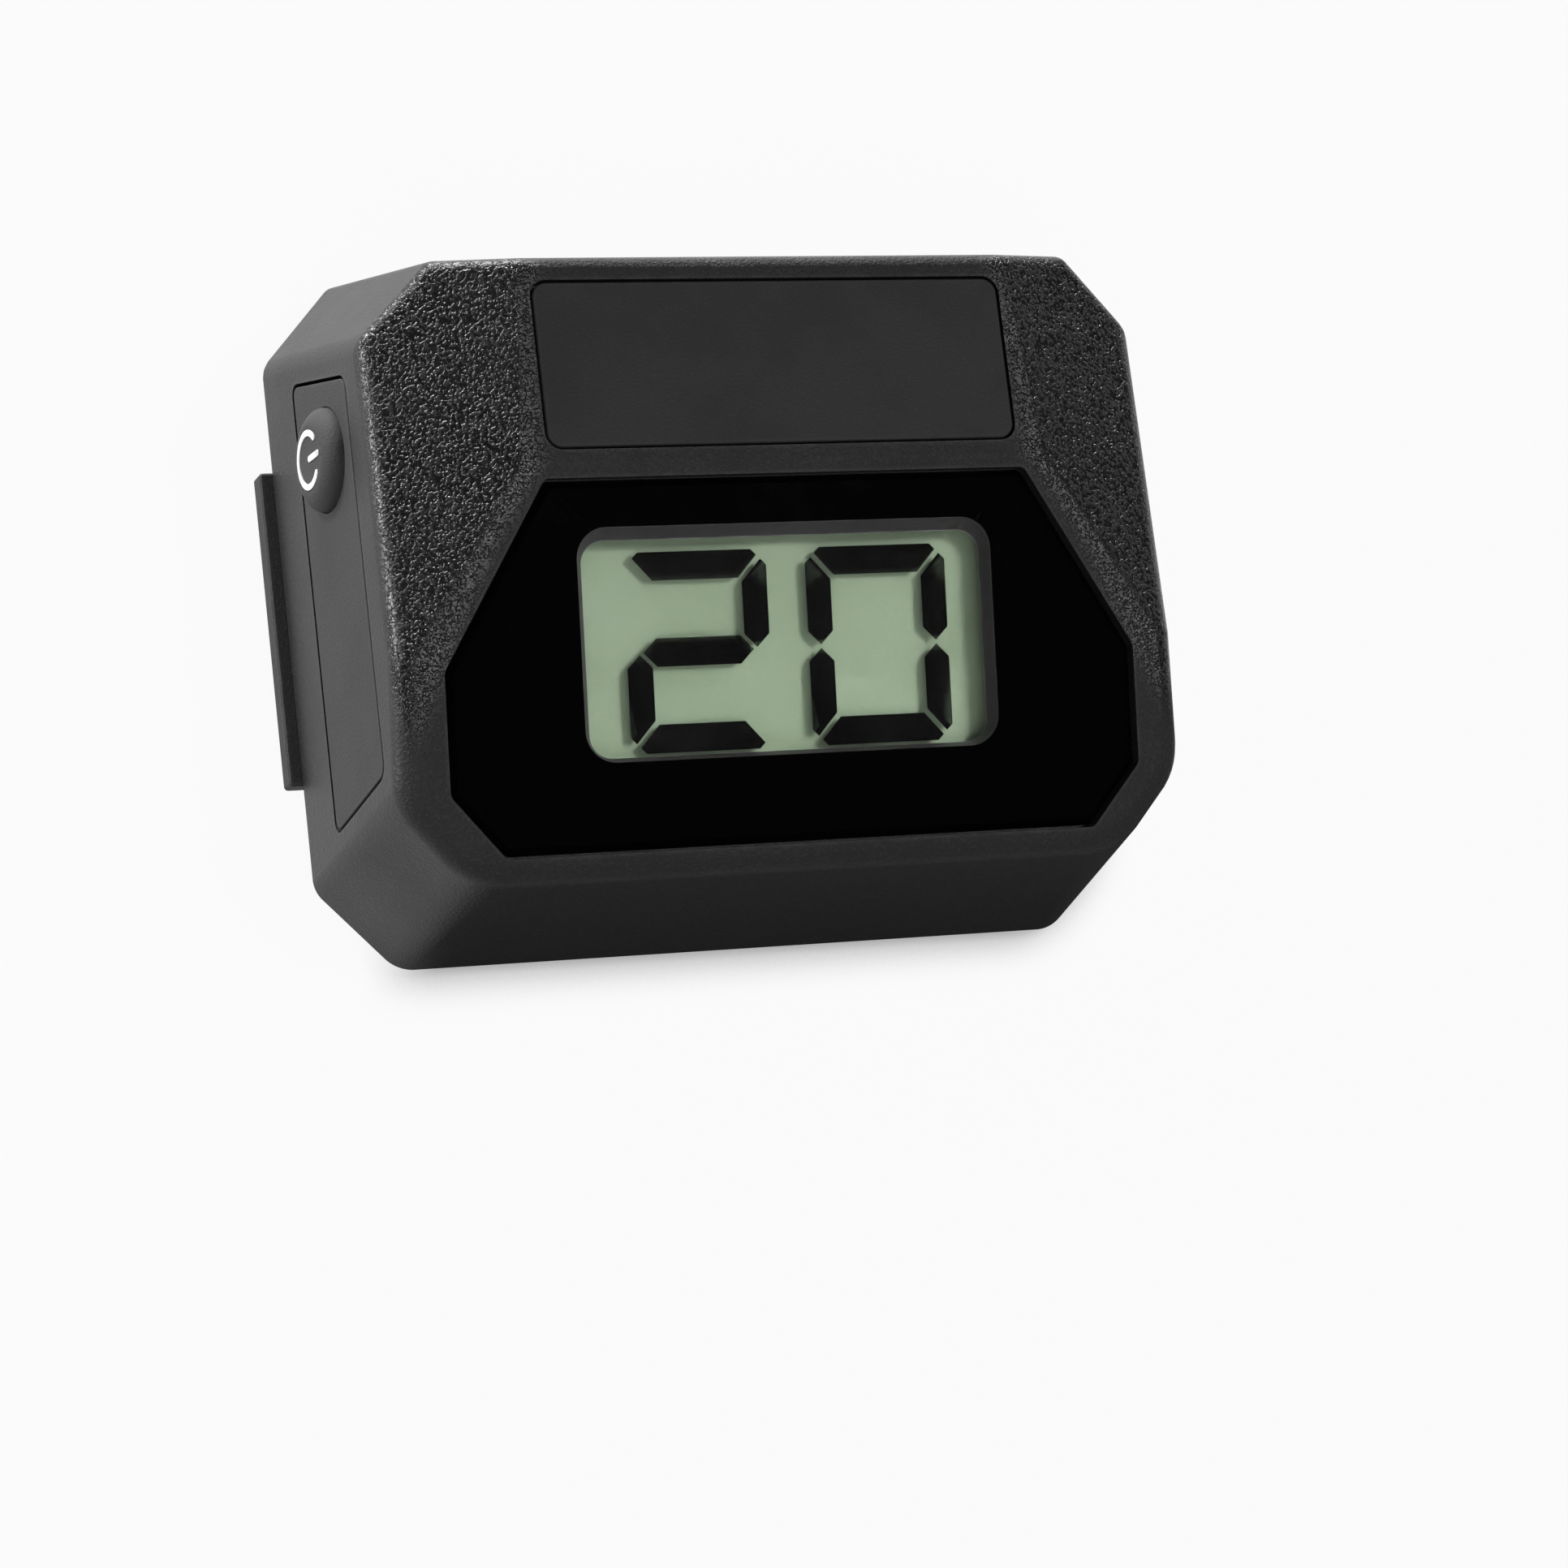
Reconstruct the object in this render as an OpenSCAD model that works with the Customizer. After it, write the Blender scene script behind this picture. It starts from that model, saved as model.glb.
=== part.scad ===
// Digital angle gauge for sharpening blades, lying on its magnetic base plate.
// X runs to the right of the display, Y to its top and Z out of it.
// The origin is the middle of the base plate's contact face. Lengths are in millimetres.

/* [Case] */
// Width of the case at its back
case_w = 42; // [38:0.5:48]
// Height of the case at its back
case_h = 34.3; // [33:0.1:40]
// Depth of the case from its back to the top facet
case_d = 15.2; // [14.5:0.1:18]
// Width of each corner cut at the back
corner_w = 3.75; // [3:0.05:5]
// Height of each corner cut at the back
corner_h = 4.1; // [3:0.05:5]
// Draft of the left and right walls in degrees
side_draft = 5.6; // [3:0.1:7]
// Draft of the top wall in degrees
crown_draft = 12.2; // [8:0.1:13]
// Draft of the chin wall in degrees
chin_draft = 10.3; // [8:0.1:13]
// Draft of the upper corner walls in degrees
corner_draft = 11.5; // [8:0.1:13]
// Draft of the lower corner walls in degrees
jaw_draft = 10; // [8:0.1:13]
// Thickness of the crown, chin and corner walls
case_wall = 1.8; // [1.4:0.1:2.2]
// Thickness of the left and right walls
side_wall = 2.4; // [2.2:0.1:3]
// Thickness of the front facets
front_wall = 2.2; // [1.9:0.1:2.6]

/* [Facets] */
// Height of the brow line, where the top facet meets the display facet
brow_y = 3.9; // [3.5:0.1:4.5]
// Half length of the brow line
brow_w = 13.2; // [12.8:0.1:14]
// Half length of the top facet at the crown
crown_w = 12.4; // [12.3:0.1:13]
// Height at which the side facets run out on the side walls
runout_y = -6; // [-8:0.1:-4]
// Tilt of the display facet in degrees
display_tilt = 10.4; // [8:0.1:12]
// Radius of the edges round the top facet and the side facets
edge_r = 0.8; // [0.4:0.1:1]
// Radius of the edges at the chin
chin_r = 1.4; // [0.6:0.05:1.4]
// Radius of the edges at the back
back_r = 0.2; // [0.1:0.1:0.8]

/* [Display window] */
// Rim between the brow line and the window seat
window_rim = 0.7; // [0.4:0.1:1]
// Width of the window seat at its top
window_top_w = 24.2; // [23:0.1:25]
// Widest width of the window seat
window_w = 34.8; // [34:0.1:35.4]
// Width of the window seat at its foot
window_foot_w = 29.7; // [28:0.1:30.5]
// Height of the window seat
window_h = 17.5; // [17.2:0.1:17.8]
// Height from the seat's top to its side corners
shoulder_h = 8.75; // [8:0.05:9.5]
// Height of the cuts at the seat's foot
foot_h = 3; // [2.5:0.1:3.5]
// Radius of the seat's corners
window_r = 0.5; // [0.3:0.1:1]
// Thickness of the clear lens
lens_t = 1; // [0.8:0.05:1.1]
// Depth of the lens below the facet
lens_sink = 0.1; // [0.05:0.05:0.2]
// Bevel along the lens edge
lens_bevel = 0.35; // [0.2:0.05:0.5]
// Thickness of the black mask behind the lens
mask_t = 0.15; // [0.1:0.05:0.2]
// Width of the display opening in the mask
view_w = 21; // [18.5:0.1:23.5]
// Height of the display opening in the mask
view_h = 11; // [10.6:0.1:11.2]
// Drop from the seat's top to the display opening
view_drop = 2.27; // [2:0.01:2.6]
// Corner radius of the display opening
view_r = 1.5; // [0.8:0.1:2]
// Taper of the bezel walls towards the display
bezel_taper = 0.4; // [0.2:0.05:0.5]
// Offset of the bezel's foot to the right
bezel_dx = 0.1; // [-0.2:0.05:0.2]
// Offset of the bezel's foot downwards
bezel_dy = 0.2; // [0:0.05:0.2]

/* [Display] */
// Depth of the bezel from the mask to the display glass
bezel_t = 0.8; // [0.6:0.1:1]
// Border of the front glass beside the display opening
glass_side = 0.9; // [0.7:0.1:1]
// Border of the front glass above and below the display opening
glass_ledge = 1.75; // [1.6:0.05:1.8]
// Border of the rear glass above and below the display opening
rear_ledge = 0.35; // [0.2:0.05:0.4]
// Thickness of each display glass
glass_t = 0.7; // [0.5:0.05:0.8]
// Thickness of the liquid-crystal layer that shows the figures
figure_t = 0.06; // [0.04:0.01:0.1]
// Thickness of the reflector behind the display
reflector_t = 0.2; // [0.1:0.05:0.3]
// Height of a figure
figure_h = 9.5; // [8.5:0.1:9.6]
// Width of a figure
figure_w = 7.2; // [6.5:0.1:7.6]
// Distance between the two figures
figure_pitch = 9.2; // [8.5:0.05:9.6]
// Width of an upright segment
segment_w = 1.25; // [1:0.05:1.6]
// Width of a level segment
bar_w = 1.35; // [1:0.05:1.6]
// Space between neighbouring segments
segment_gap = 0.2; // [0.12:0.01:0.3]
// Offset of the figures to the right of the window's middle line
figure_dx = 0.45; // [-1:0.05:1]
// Offset of the figures below the middle of the display opening
figure_dy = 0.4; // [0:0.05:0.6]
// Space between the display glass and the circuit board
board_gap = 3.2; // [2.8:0.1:3.6]
// Wall of the display holder
holder_wall = 0.8; // [0.6:0.1:0.9]
// Thickness of the connector strips
strip_t = 1; // [0.8:0.1:1.1]
// Length of the connector strips
strip_l = 19; // [16:0.5:20]

/* [Top inlay] */
// Width of the inlay in the top facet
inlay_w = 23.8; // [22:0.1:24]
// Rim between the brow line and the inlay
inlay_rim = 0.65; // [0.4:0.05:0.9]
// Rim between the inlay and the crown edge
crown_rim = 1.12; // [1.1:0.02:1.6]
// Corner radius of the inlay
inlay_r = 0.85; // [0.5:0.05:1.5]
// Thickness of the inlay
inlay_t = 0.8; // [0.6:0.1:1.2]

/* [Side panel and button] */
// Distance of the side panel from the back, along the wall
panel_back = 3.9; // [3.5:0.1:4.2]
// Width of the side panel across the wall
panel_w = 7; // [6.6:0.1:7.2]
// Length of the side panel at its back edge
panel_l = 22.2; // [21:0.1:22.6]
// Length of the side panel at its front edge
panel_front_l = 19.2; // [18.5:0.1:19.6]
// Radius of the side panel's corners
panel_r = 0.4; // [0.2:0.1:1]
// Thickness of the side panel
panel_t = 1; // [0.8:0.1:1.2]
// Height of the button on the display side's Y axis
button_y = 6.4; // [5.5:0.1:6.6]
// Distance of the button's middle from the back, along the wall
button_u = 7.4; // [7.2:0.1:7.5]
// Radius of the button where it leaves the panel
button_r = 2.6; // [2.2:0.05:2.6]
// Radius of the button's face
button_face_r = 2.05; // [1.7:0.05:2.1]
// Height of the button above the panel
button_h = 1; // [0.7:0.05:1.1]
// Travel of the button
button_travel = 0.5; // [0.3:0.05:0.5]
// Width of the flange that keeps the button behind the panel
flange_w = 0.6; // [0.4:0.05:0.7]
// Thickness of the button's flange
flange_t = 0.6; // [0.5:0.05:0.7]
// Radius of the button's stem
stem_r = 1; // [0.9:0.05:1.1]
// Middle radius of the power symbol's ring
symbol_r = 1.4; // [1.1:0.05:1.4]
// Line width of the power symbol
symbol_line = 0.36; // [0.25:0.01:0.45]
// Height of the printed symbol
symbol_t = 0.06; // [0.04:0.01:0.1]

/* [Circuit board] */
// Thickness of the circuit board
board_t = 1; // [0.8:0.1:1.2]
// Distance from the board screws to the board's side edges
board_edge = 1.6; // [1.5:0.05:1.8]
// Half width of the board's tongues beside the case screws
tongue_w = 12; // [11.5:0.1:12.2]
// Distance of the board's top edge above the brow line
board_top = 7; // [6.8:0.1:7.2]
// Distance of the board's foot below the brow line
board_foot = 16.2; // [15.8:0.1:16.4]
// Distance of the board's shoulders above the brow line
board_shoulder = 4.4; // [4:0.1:4.6]
// Distance of the board's hips below the brow line
board_hip = 14.2; // [13.4:0.1:14.6]
// Distances of the board screws below the brow line
board_screw_v = [3.4, 11.5];
// Radius of the posts that carry the board
post_r = 1.35; // [1.2:0.05:1.4]
// Gap between the display holder and the posts beside it
post_gap = 0.27; // [0.2:0.01:0.4]
// Radius of the board screws' shanks
board_screw_r = 0.6; // [0.5:0.05:0.7]
// Length of the board screws' shanks
board_screw_l = 3.6; // [3:0.1:4]
// Height of the switch above the board
switch_h = 3; // [2.8:0.1:3.2]
// Width of the switch along the board's edge
switch_w = 3.5; // [3:0.1:3.6]
// Depth of the switch from the board's edge
switch_d = 3.4; // [3:0.1:4]
// Radius of the switch plunger
plunger_r = 0.75; // [0.6:0.05:0.8]
// Length of the plunger that stands out of the switch
plunger_out = 0.8; // [0.7:0.05:1]
// Length of the plunger inside the switch
plunger_in = 1.4; // [1:0.1:1.6]

/* [Power cell] */
// Radius of the coin cell
cell_r = 8; // [7.6:0.1:8.1]
// Thickness of the coin cell
cell_t = 3.2; // [2.6:0.1:3.2]
// Step of the cell's negative cap
cap_step = 0.5; // [0.4:0.1:0.8]
// Distance of the cell's middle below the brow line
cell_v = 2.3; // [2.1:0.1:2.5]
// Wall of the cell holder
cup_wall = 0.8; // [0.6:0.1:0.9]
// Thickness of the contact metal
contact_t = 0.3; // [0.2:0.05:0.3]
// Width of the clip across the cell
clip_w = 4; // [3:0.1:6]
// Radius of the negative contact
pad_r = 3.5; // [2.5:0.1:5]

/* [Back] */
// Thickness of the base plate
plate_t = 1.2; // [1:0.1:1.6]
// Overhang of the base plate on each side of the case
plate_over = 0.6; // [0.3:0.1:1]
// Height of the base plate
plate_h = 15.6; // [15.2:0.1:17]
// Corner radius of the base plate
plate_r = 0.2; // [0.2:0.1:1.5]
// Radius of the base plate's locating pins
pin_r = 1; // [0.8:0.1:1.2]
// Length of the base plate's locating pins
pin_l = 1.2; // [0.8:0.1:1.3]
// Half distance between the locating pins
pin_x = 5; // [3:0.5:7]
// Thickness of the rear cover
cover_t = 2; // [1.8:0.1:2.2]
// Width of the case's lip round the rear cover
lip = 1.2; // [1.1:0.05:1.4]
// Radius of a magnet
magnet_r = 3.4; // [3:0.1:3.5]
// Thickness of a magnet
magnet_t = 2.2; // [1.8:0.1:2.4]
// Half distance between the magnets across the case
magnet_x = 13.4; // [13.2:0.1:13.6]
// Half distance between the magnets along the case
magnet_y = 3.9; // [3.8:0.1:4]
// Wall of the magnet cups
magnet_wall = 0.6; // [0.5:0.05:0.7]
// Half distance between the case screws across the case
screw_x = 14.8; // [14.6:0.1:15]
// Half distance between the case screws along the case
screw_y = 12.2; // [12.1:0.05:12.4]
// Radius of the case screws' shanks
screw_r = 0.8; // [0.7:0.05:0.9]
// Length of the case screws' shanks
screw_l = 6; // [5:0.1:6.5]
// Radius of the case screws' heads
head_r = 1.6; // [1.4:0.05:1.7]
// Height of the case screws' heads
head_t = 0.9; // [0.8:0.05:1]
// Radius of the bosses for the case screws
boss_r = 2; // [1.8:0.05:2.1]

/* [Clearances] */
// Gap round pieces that are set in the case
seat_gap = 0.12; // [0.08:0.01:0.15]
// Gap round the button
slide_gap = 0.16; // [0.12:0.01:0.2]
// Gap round screws, magnets and inner pieces
inner_gap = 0.08; // [0.05:0.01:0.1]
// Gap between the board's pieces that stand beside each other
part_gap = 0.2; // [0.15:0.01:0.25]

/* [Hidden] */

// Overlap used where a cut has to pass a face
cut = 0.5;
// Segments of round shapes
$fn = 48;
// Steps of each rounded edge
edge_steps = 4;
// Steps of the button's shoulder
shoulder_steps = 6;
// Thin layer that starts a taper
skin = 0.01;
// Length of a segment's bevelled nose
segment_nose = 0.28;
// Segments lit in each figure of the reading
reading = ["abged", "abcdef"];
// Shelf of the display holder under the rear glass
shelf_w = 1;
// Depth of the case screws' heads below the cover
head_sink = 0.15;
// Height of the board screws' heads
board_head_t = 0.7;
// Rim and width of the cross in the screw heads
cross_edge = 1;
cross_w = 0.5;
// Bevel along the edges of the base plate
plate_bevel = 0.1;
// Opening of the power symbol's ring in degrees, and where its bar starts
symbol_gap = 76;
symbol_bar = 0.35;
// Height at which the button's shoulder starts
button_foot = 0.2;
// Radius and height of the resin drop
drop_r = 3;
drop_h = 1.1;
// Place and size of the tilt sensor
sensor_x = 8.5;
sensor_v = 13;
sensor_w = 3;
sensor_h = 1;
// Number, spacing and size of the chip capacitors
chip_count = 3;
chip_pitch = 1.6;
chip_w = 0.8;
chip_l = 1.6;
// Radius and length of the crystal's can
can_r = 0.8;
can_l = 6;
// Sides, as signs of X
sides = [-1, 1];

// Unit vector along v
function unit(v) = v / norm(v);

// Plane through point p with outward normal n, as [normal, distance]
function plane(n, p) = [unit(n), unit(n) * p];

// The same plane moved inwards by t
function inward(f, t) = [f[0], f[1] - t];

// Point where three planes meet
function meet(f, g, h) =
    (f[1] * cross(g[0], h[0]) + g[1] * cross(h[0], f[0]) + h[1] * cross(f[0], g[0]))
    / (f[0] * cross(g[0], h[0]));

// Points of a corner with radius r where three planes meet
function corner(f, g, h, r) =
    let (c = meet(inward(f, r), inward(g, r), inward(h, r)))
    [
        for (i = [0 : edge_steps])
            for (j = [0 : edge_steps - i])
                c + r * unit(i * f[0] + j * g[0] + (edge_steps - i - j) * h[0])
    ];

// Half width of the case where a side wall passes height z above the back
function side_at(z) = case_w / 2 - z * tan(side_draft);

// Depth of the display facet at height y of the display
function display_z(y) = case_d + (y - brow_y) * tan(display_tilt);

// Walls and facets of the case on the side with sign s
function crown_f() = plane([0, 1, tan(crown_draft)], [0, case_h / 2, 0]);
function chin_f() = plane([0, -1, tan(chin_draft)], [0, -case_h / 2, 0]);
function back_f() = plane([0, 0, -1], [0, 0, 0]);
function side_f(s) = plane([s, 0, tan(side_draft)], [s * case_w / 2, 0, 0]);
function corner_f(s, t) =
    let (n = unit([s * corner_h, t * corner_w, 0]))
    let (draft = t > 0 ? corner_draft : jaw_draft)
    plane([n[0], n[1], tan(draft)], [s * case_w / 2, t * (case_h / 2 - corner_h), 0]);
function top_f() = plane([0, 0, 1], [0, 0, case_d]);
function display_f() = plane([0, -sin(display_tilt), cos(display_tilt)], [0, brow_y, case_d]);
function facet_f(s) =
    let (
        a = [s * brow_w, brow_y, case_d],
        b = [s * crown_w, crown_y, case_d],
        c = [s * side_at(display_z(runout_y)), runout_y, display_z(runout_y)]
    )
    plane(s * cross(c - a, b - a), a);

// Corner points of the case with all walls moved inwards, sharp where the radii are zero
function case_points(wall, side, front, back, r_edge, r_chin, r_back) = [
    for (s = sides)
        let (
            crown = inward(crown_f(), wall),
            chin = inward(chin_f(), wall),
            rear = inward(back_f(), back),
            flank = inward(side_f(s), side),
            upper = inward(corner_f(s, 1), wall),
            lower = inward(corner_f(s, -1), wall),
            top = inward(top_f(), front),
            face = inward(display_f(), front),
            facet = inward(facet_f(s), front)
        )
        each concat(
            corner(top, facet, crown, r_edge),
            corner(top, facet, face, r_edge),
            corner(facet, crown, upper, r_edge),
            corner(facet, upper, flank, r_edge),
            corner(facet, face, flank, r_edge),
            corner(face, flank, lower, r_chin),
            corner(face, lower, chin, r_chin),
            corner(rear, crown, upper, r_back),
            corner(rear, upper, flank, r_back),
            corner(rear, flank, lower, r_back),
            corner(rear, lower, chin, r_back)
        )
];

// Convex solid round a list of points
module wrap(points) {
    hull()
        polyhedron(points, [for (i = [0 : 3 : len(points) - 3]) [i, i + 1, i + 2]]);
}

// Corners of the case outline at the back, moved inwards by t
function back_outline(t) =
    let (
        w = case_w / 2 - t,
        h = case_h / 2 - t,
        slope = norm([corner_w, corner_h]),
        cw = corner_w + t * (slope - corner_w - corner_h) / corner_h,
        ch = corner_h + t * (slope - corner_w - corner_h) / corner_w
    )
    [
        [w, h - ch], [w - cw, h], [cw - w, h], [-w, h - ch],
        [-w, ch - h], [cw - w, -h], [w - cw, -h], [w, ch - h]
    ];

// Distances along the display facet from the brow line, positive upwards
seat_top = -window_rim;
seat_shoulder = seat_top - shoulder_h;
seat_foot = seat_top - window_h;
view_v = seat_top - view_drop - view_h / 2;

// Depths below the display facet
lens_d = lens_sink + lens_t;
mask_d = lens_d + mask_t;
glass_d = mask_d + bezel_t;
figure_d = glass_d + glass_t;
rear_glass_d = figure_d + figure_t;
reflector_d = rear_glass_d + glass_t;
shelf_d = reflector_d + reflector_t;
board_d = figure_d + board_gap;
under_d = board_d + board_t;
cell_d = under_d + contact_t;
clip_d = cell_d + cell_t;

// Sizes of the display glass and its holder
glass_w = view_w + 2 * glass_side;
glass_h = view_h + 2 * glass_ledge;
rear_glass_h = view_h + 2 * rear_ledge;
strip_v = (glass_h + rear_glass_h) / 4;
holder_w = glass_w + 2 * (inner_gap + holder_wall);
holder_h = glass_h + 2 * (inner_gap + holder_wall);
holder_d = max(front_wall + inner_gap, glass_d);

// Half distance between the board screws, and half width of the board
board_screw_x = holder_w / 2 + post_gap + post_r;
board_w = board_screw_x + board_edge;

// Upper edge of the top facet, and height of the inlay between its rims
crown_y = case_h / 2 - case_d * tan(crown_draft);
inlay_h = crown_y - brow_y - inlay_rim - crown_rim;

// Levels along the button's axis, from the wall's surface
panel_in = -panel_t;
flange_top = panel_in - inner_gap;
flange_foot = flange_top - flange_t;
switch_face = -(side_at(button_u * cos(side_draft)) - board_w) / cos(side_draft);
plunger_top = switch_face + plunger_out;
plunger_foot = switch_face - plunger_in;

// Place of the button's axis where it enters the switch
switch_z = button_u * cos(side_draft) + switch_face * sin(side_draft) - case_d;
switch_v = (button_y - brow_y) * cos(display_tilt) + switch_z * sin(display_tilt);
flank_r = button_r + flange_w;

// Outer radius of the cell holder
cup_r = cell_r + inner_gap + cup_wall;

// Colours of the materials
charcoal = "#303030";
soft_black = "#1c1c1c";
gloss_black = "#050505";
clear_glass = "#dfe6e4";
grey_green = "#93a48c";
steel = "#b4b6b8";
board_green = "#23663b";
gold = "#c8a24a";

// Children are placed on the back of the case
module on_back() {
    translate([0, 0, plate_t])
        children();
}

// Children are placed on the display facet, with the brow line as X and the depth along -Z
module on_display() {
    translate([0, brow_y, plate_t + case_d])
        rotate([display_tilt, 0, 0])
            children();
}

// Children are placed on the left wall, with X towards the front and Z outwards
module on_flank() {
    translate([-case_w / 2, 0, plate_t])
        rotate([0, side_draft - 90, 0])
            children();
}

// Children are placed on the button's axis
module on_button() {
    on_flank()
        translate([button_u, button_y, 0])
            children();
}

// Slab of a flat outline from depth a down to depth b
module slab(a, b) {
    translate([0, 0, -b])
        linear_extrude(b - a)
            children();
}

// Rectangle with round corners
module round_rect(w, h, r) {
    offset(r = r)
        square([w - 2 * r, h - 2 * r], center = true);
}

// Window seat as a closed loop, moved inwards by t
module seat_outline(t) {
    half = [
        [window_top_w / 2, seat_top],
        [window_w / 2, seat_shoulder],
        [window_w / 2, seat_foot + foot_h],
        [window_foot_w / 2, seat_foot]
    ];
    offset(r = window_r)
        offset(delta = -window_r - t)
            polygon(concat(half, [for (i = [3 : -1 : 0]) [-half[i][0], half[i][1]]]));
}

// Outline of the side panel, moved inwards by t
module panel_outline(t) {
    offset(r = panel_r)
        offset(delta = -panel_r - t)
            polygon([
                [panel_back, -panel_l / 2], [panel_back + panel_w, -panel_front_l / 2],
                [panel_back + panel_w, panel_front_l / 2], [panel_back, panel_l / 2]
            ]);
}

// Children are placed at the middle of the display opening
module on_view() {
    on_display()
        translate([0, view_v, 0])
            children();
}

// Children are placed at the middle of the top inlay
module on_inlay() {
    translate([0, brow_y + inlay_rim + inlay_h / 2, plate_t + case_d])
        children();
}

// Children are repeated at the four case screws
module at_screws() {
    for (s = sides, t = sides)
        translate([s * screw_x, t * screw_y, plate_t])
            children();
}

// Children are repeated at the four board screws, on the display facet
module at_board_screws() {
    for (s = sides, v = board_screw_v)
        on_display()
            translate([s * board_screw_x, -v, 0])
                children();
}

// Children are repeated at the four magnets
module at_magnets() {
    for (s = sides, t = sides)
        translate([s * magnet_x, t * magnet_y, plate_t])
            children();
}

// Moulded case with its facets, seats, bosses and posts
module housing() {
    color(charcoal)
        difference() {
            on_back()
                wrap(case_points(0, 0, 0, 0, edge_r, chin_r, back_r));
            difference() {
                on_back()
                    wrap(case_points(case_wall, side_wall, front_wall, cover_t - cut, 0, 0, 0));
                at_screws()
                    cylinder(r = boss_r, h = case_d);
                at_board_screws()
                    slab(0, board_d)
                        circle(post_r);
            }
            on_back()
                translate([0, 0, -cut])
                    linear_extrude(cover_t + cut)
                        polygon(back_outline(lip));
            on_display()
                slab(-cut, mask_d)
                    seat_outline(0);
            on_view()
                slab(lens_d, front_wall + cut)
                    square([glass_w + 2 * part_gap, glass_h + 2 * part_gap], center = true);
            on_inlay()
                slab(-cut, inlay_t)
                    round_rect(inlay_w, inlay_h, inlay_r);
            on_flank()
                slab(-cut, panel_t)
                    panel_outline(0);
            on_button()
                slab(0, side_wall + cut)
                    circle(flank_r + slide_gap);
            at_screws()
                cylinder(r = screw_r + inner_gap, h = head_sink + head_t + screw_l + part_gap);
            at_board_screws()
                slab(under_d - board_screw_l - part_gap, under_d)
                    circle(board_screw_r + inner_gap);
        }
}

// Smooth bare panel in the top facet
module top_inlay() {
    color(soft_black)
        on_inlay()
            slab(0, inlay_t)
                round_rect(inlay_w - 2 * seat_gap, inlay_h - 2 * seat_gap, inlay_r - seat_gap);
}

// Smooth panel in the left wall, with the hole for the button
module side_panel() {
    color(soft_black)
        difference() {
            on_flank()
                slab(0, panel_t)
                    panel_outline(seat_gap);
            on_button()
                slab(-cut, panel_t + cut)
                    circle(button_r + slide_gap);
        }
}

// Button with a round shoulder, a flange behind the panel and a stem that meets the switch
module power_button() {
    color(soft_black)
        on_button()
            rotate_extrude()
                polygon(concat(
                    [
                        [0, plunger_top], [stem_r, plunger_top], [stem_r, flange_foot],
                        [flank_r, flange_foot], [flank_r, flange_top], [button_r, flange_top]
                    ],
                    [
                        for (a = [0 : 90 / shoulder_steps : 90])
                            [
                                button_face_r + (button_r - button_face_r) * cos(a),
                                button_foot + (button_h - button_foot) * sin(a)
                            ]
                    ],
                    [[0, button_h]]
                ));
}

// Power symbol printed on the button: an open ring and a bar, upright towards the front
module power_symbol() {
    color("white")
        on_button()
            translate([0, 0, button_h]) {
                rotate([0, 0, symbol_gap / 2])
                    rotate_extrude(angle = 360 - symbol_gap)
                        translate([symbol_r - symbol_line / 2, 0])
                            square([symbol_line, symbol_t]);
                translate([symbol_bar, -symbol_line / 2, 0])
                    cube([symbol_r - symbol_bar + symbol_line / 2, symbol_line, symbol_t]);
            }
}

// Clear lens with a bevelled edge
module window_lens() {
    color(clear_glass, 0.3)
        on_display()
            hull() {
                slab(lens_sink + lens_bevel, lens_d)
                    seat_outline(seat_gap);
                slab(lens_sink, lens_sink + lens_bevel)
                    seat_outline(seat_gap + lens_bevel);
            }
}

// Black layer behind the lens with the display opening
module window_mask() {
    color(gloss_black)
        on_display()
            slab(lens_d, mask_d)
                difference() {
                    seat_outline(seat_gap);
                    translate([0, view_v])
                        round_rect(view_w, view_h, view_r);
                }
}

// Dark walls from the mask down to the display glass
module display_bezel() {
    frame = 2 * (part_gap - seat_gap);
    color(soft_black)
        on_view()
            difference() {
                slab(mask_d, glass_d)
                    square([glass_w + frame, glass_h + frame], center = true);
                hull() {
                    slab(mask_d - skin, mask_d)
                        round_rect(view_w, view_h, view_r);
                    translate([bezel_dx, -bezel_dy])
                        slab(glass_d, glass_d + skin)
                            round_rect(view_w - 2 * bezel_taper, view_h - 2 * bezel_taper, view_r - bezel_taper);
                }
            }
}

// Front glass of the display, longer than the rear glass so that its contacts show behind it
module display_front_glass() {
    color(clear_glass, 0.3)
        on_view()
            slab(glass_d, figure_d)
                square([glass_w, glass_h], center = true);
}

// Top segment of a figure
module segment_bar() {
    x = figure_w / 2 - segment_gap;
    y = figure_h / 2;
    polygon([
        [2 * segment_nose - x, y], [x - 2 * segment_nose, y], [x - segment_nose, y - segment_nose],
        [x - segment_w, y - bar_w], [segment_w - x, y - bar_w], [segment_nose - x, y - segment_nose]
    ]);
}

// Upper right segment of a figure
module segment_post() {
    x = figure_w / 2;
    y = figure_h / 2 - segment_gap;
    foot = segment_gap / 2;
    polygon([
        [x - segment_nose, y - segment_nose], [x, y - 2 * segment_nose], [x, foot + segment_w / 2],
        [x - segment_w / 2, foot], [x - segment_w, foot + segment_w / 2], [x - segment_w, y - bar_w]
    ]);
}

// Middle segment of a figure
module segment_middle() {
    x = figure_w / 2 - segment_gap - segment_w / 2;
    y = bar_w / 2;
    polygon([[-x, 0], [y - x, y], [x - y, y], [x, 0], [x - y, -y], [y - x, -y]]);
}

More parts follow.
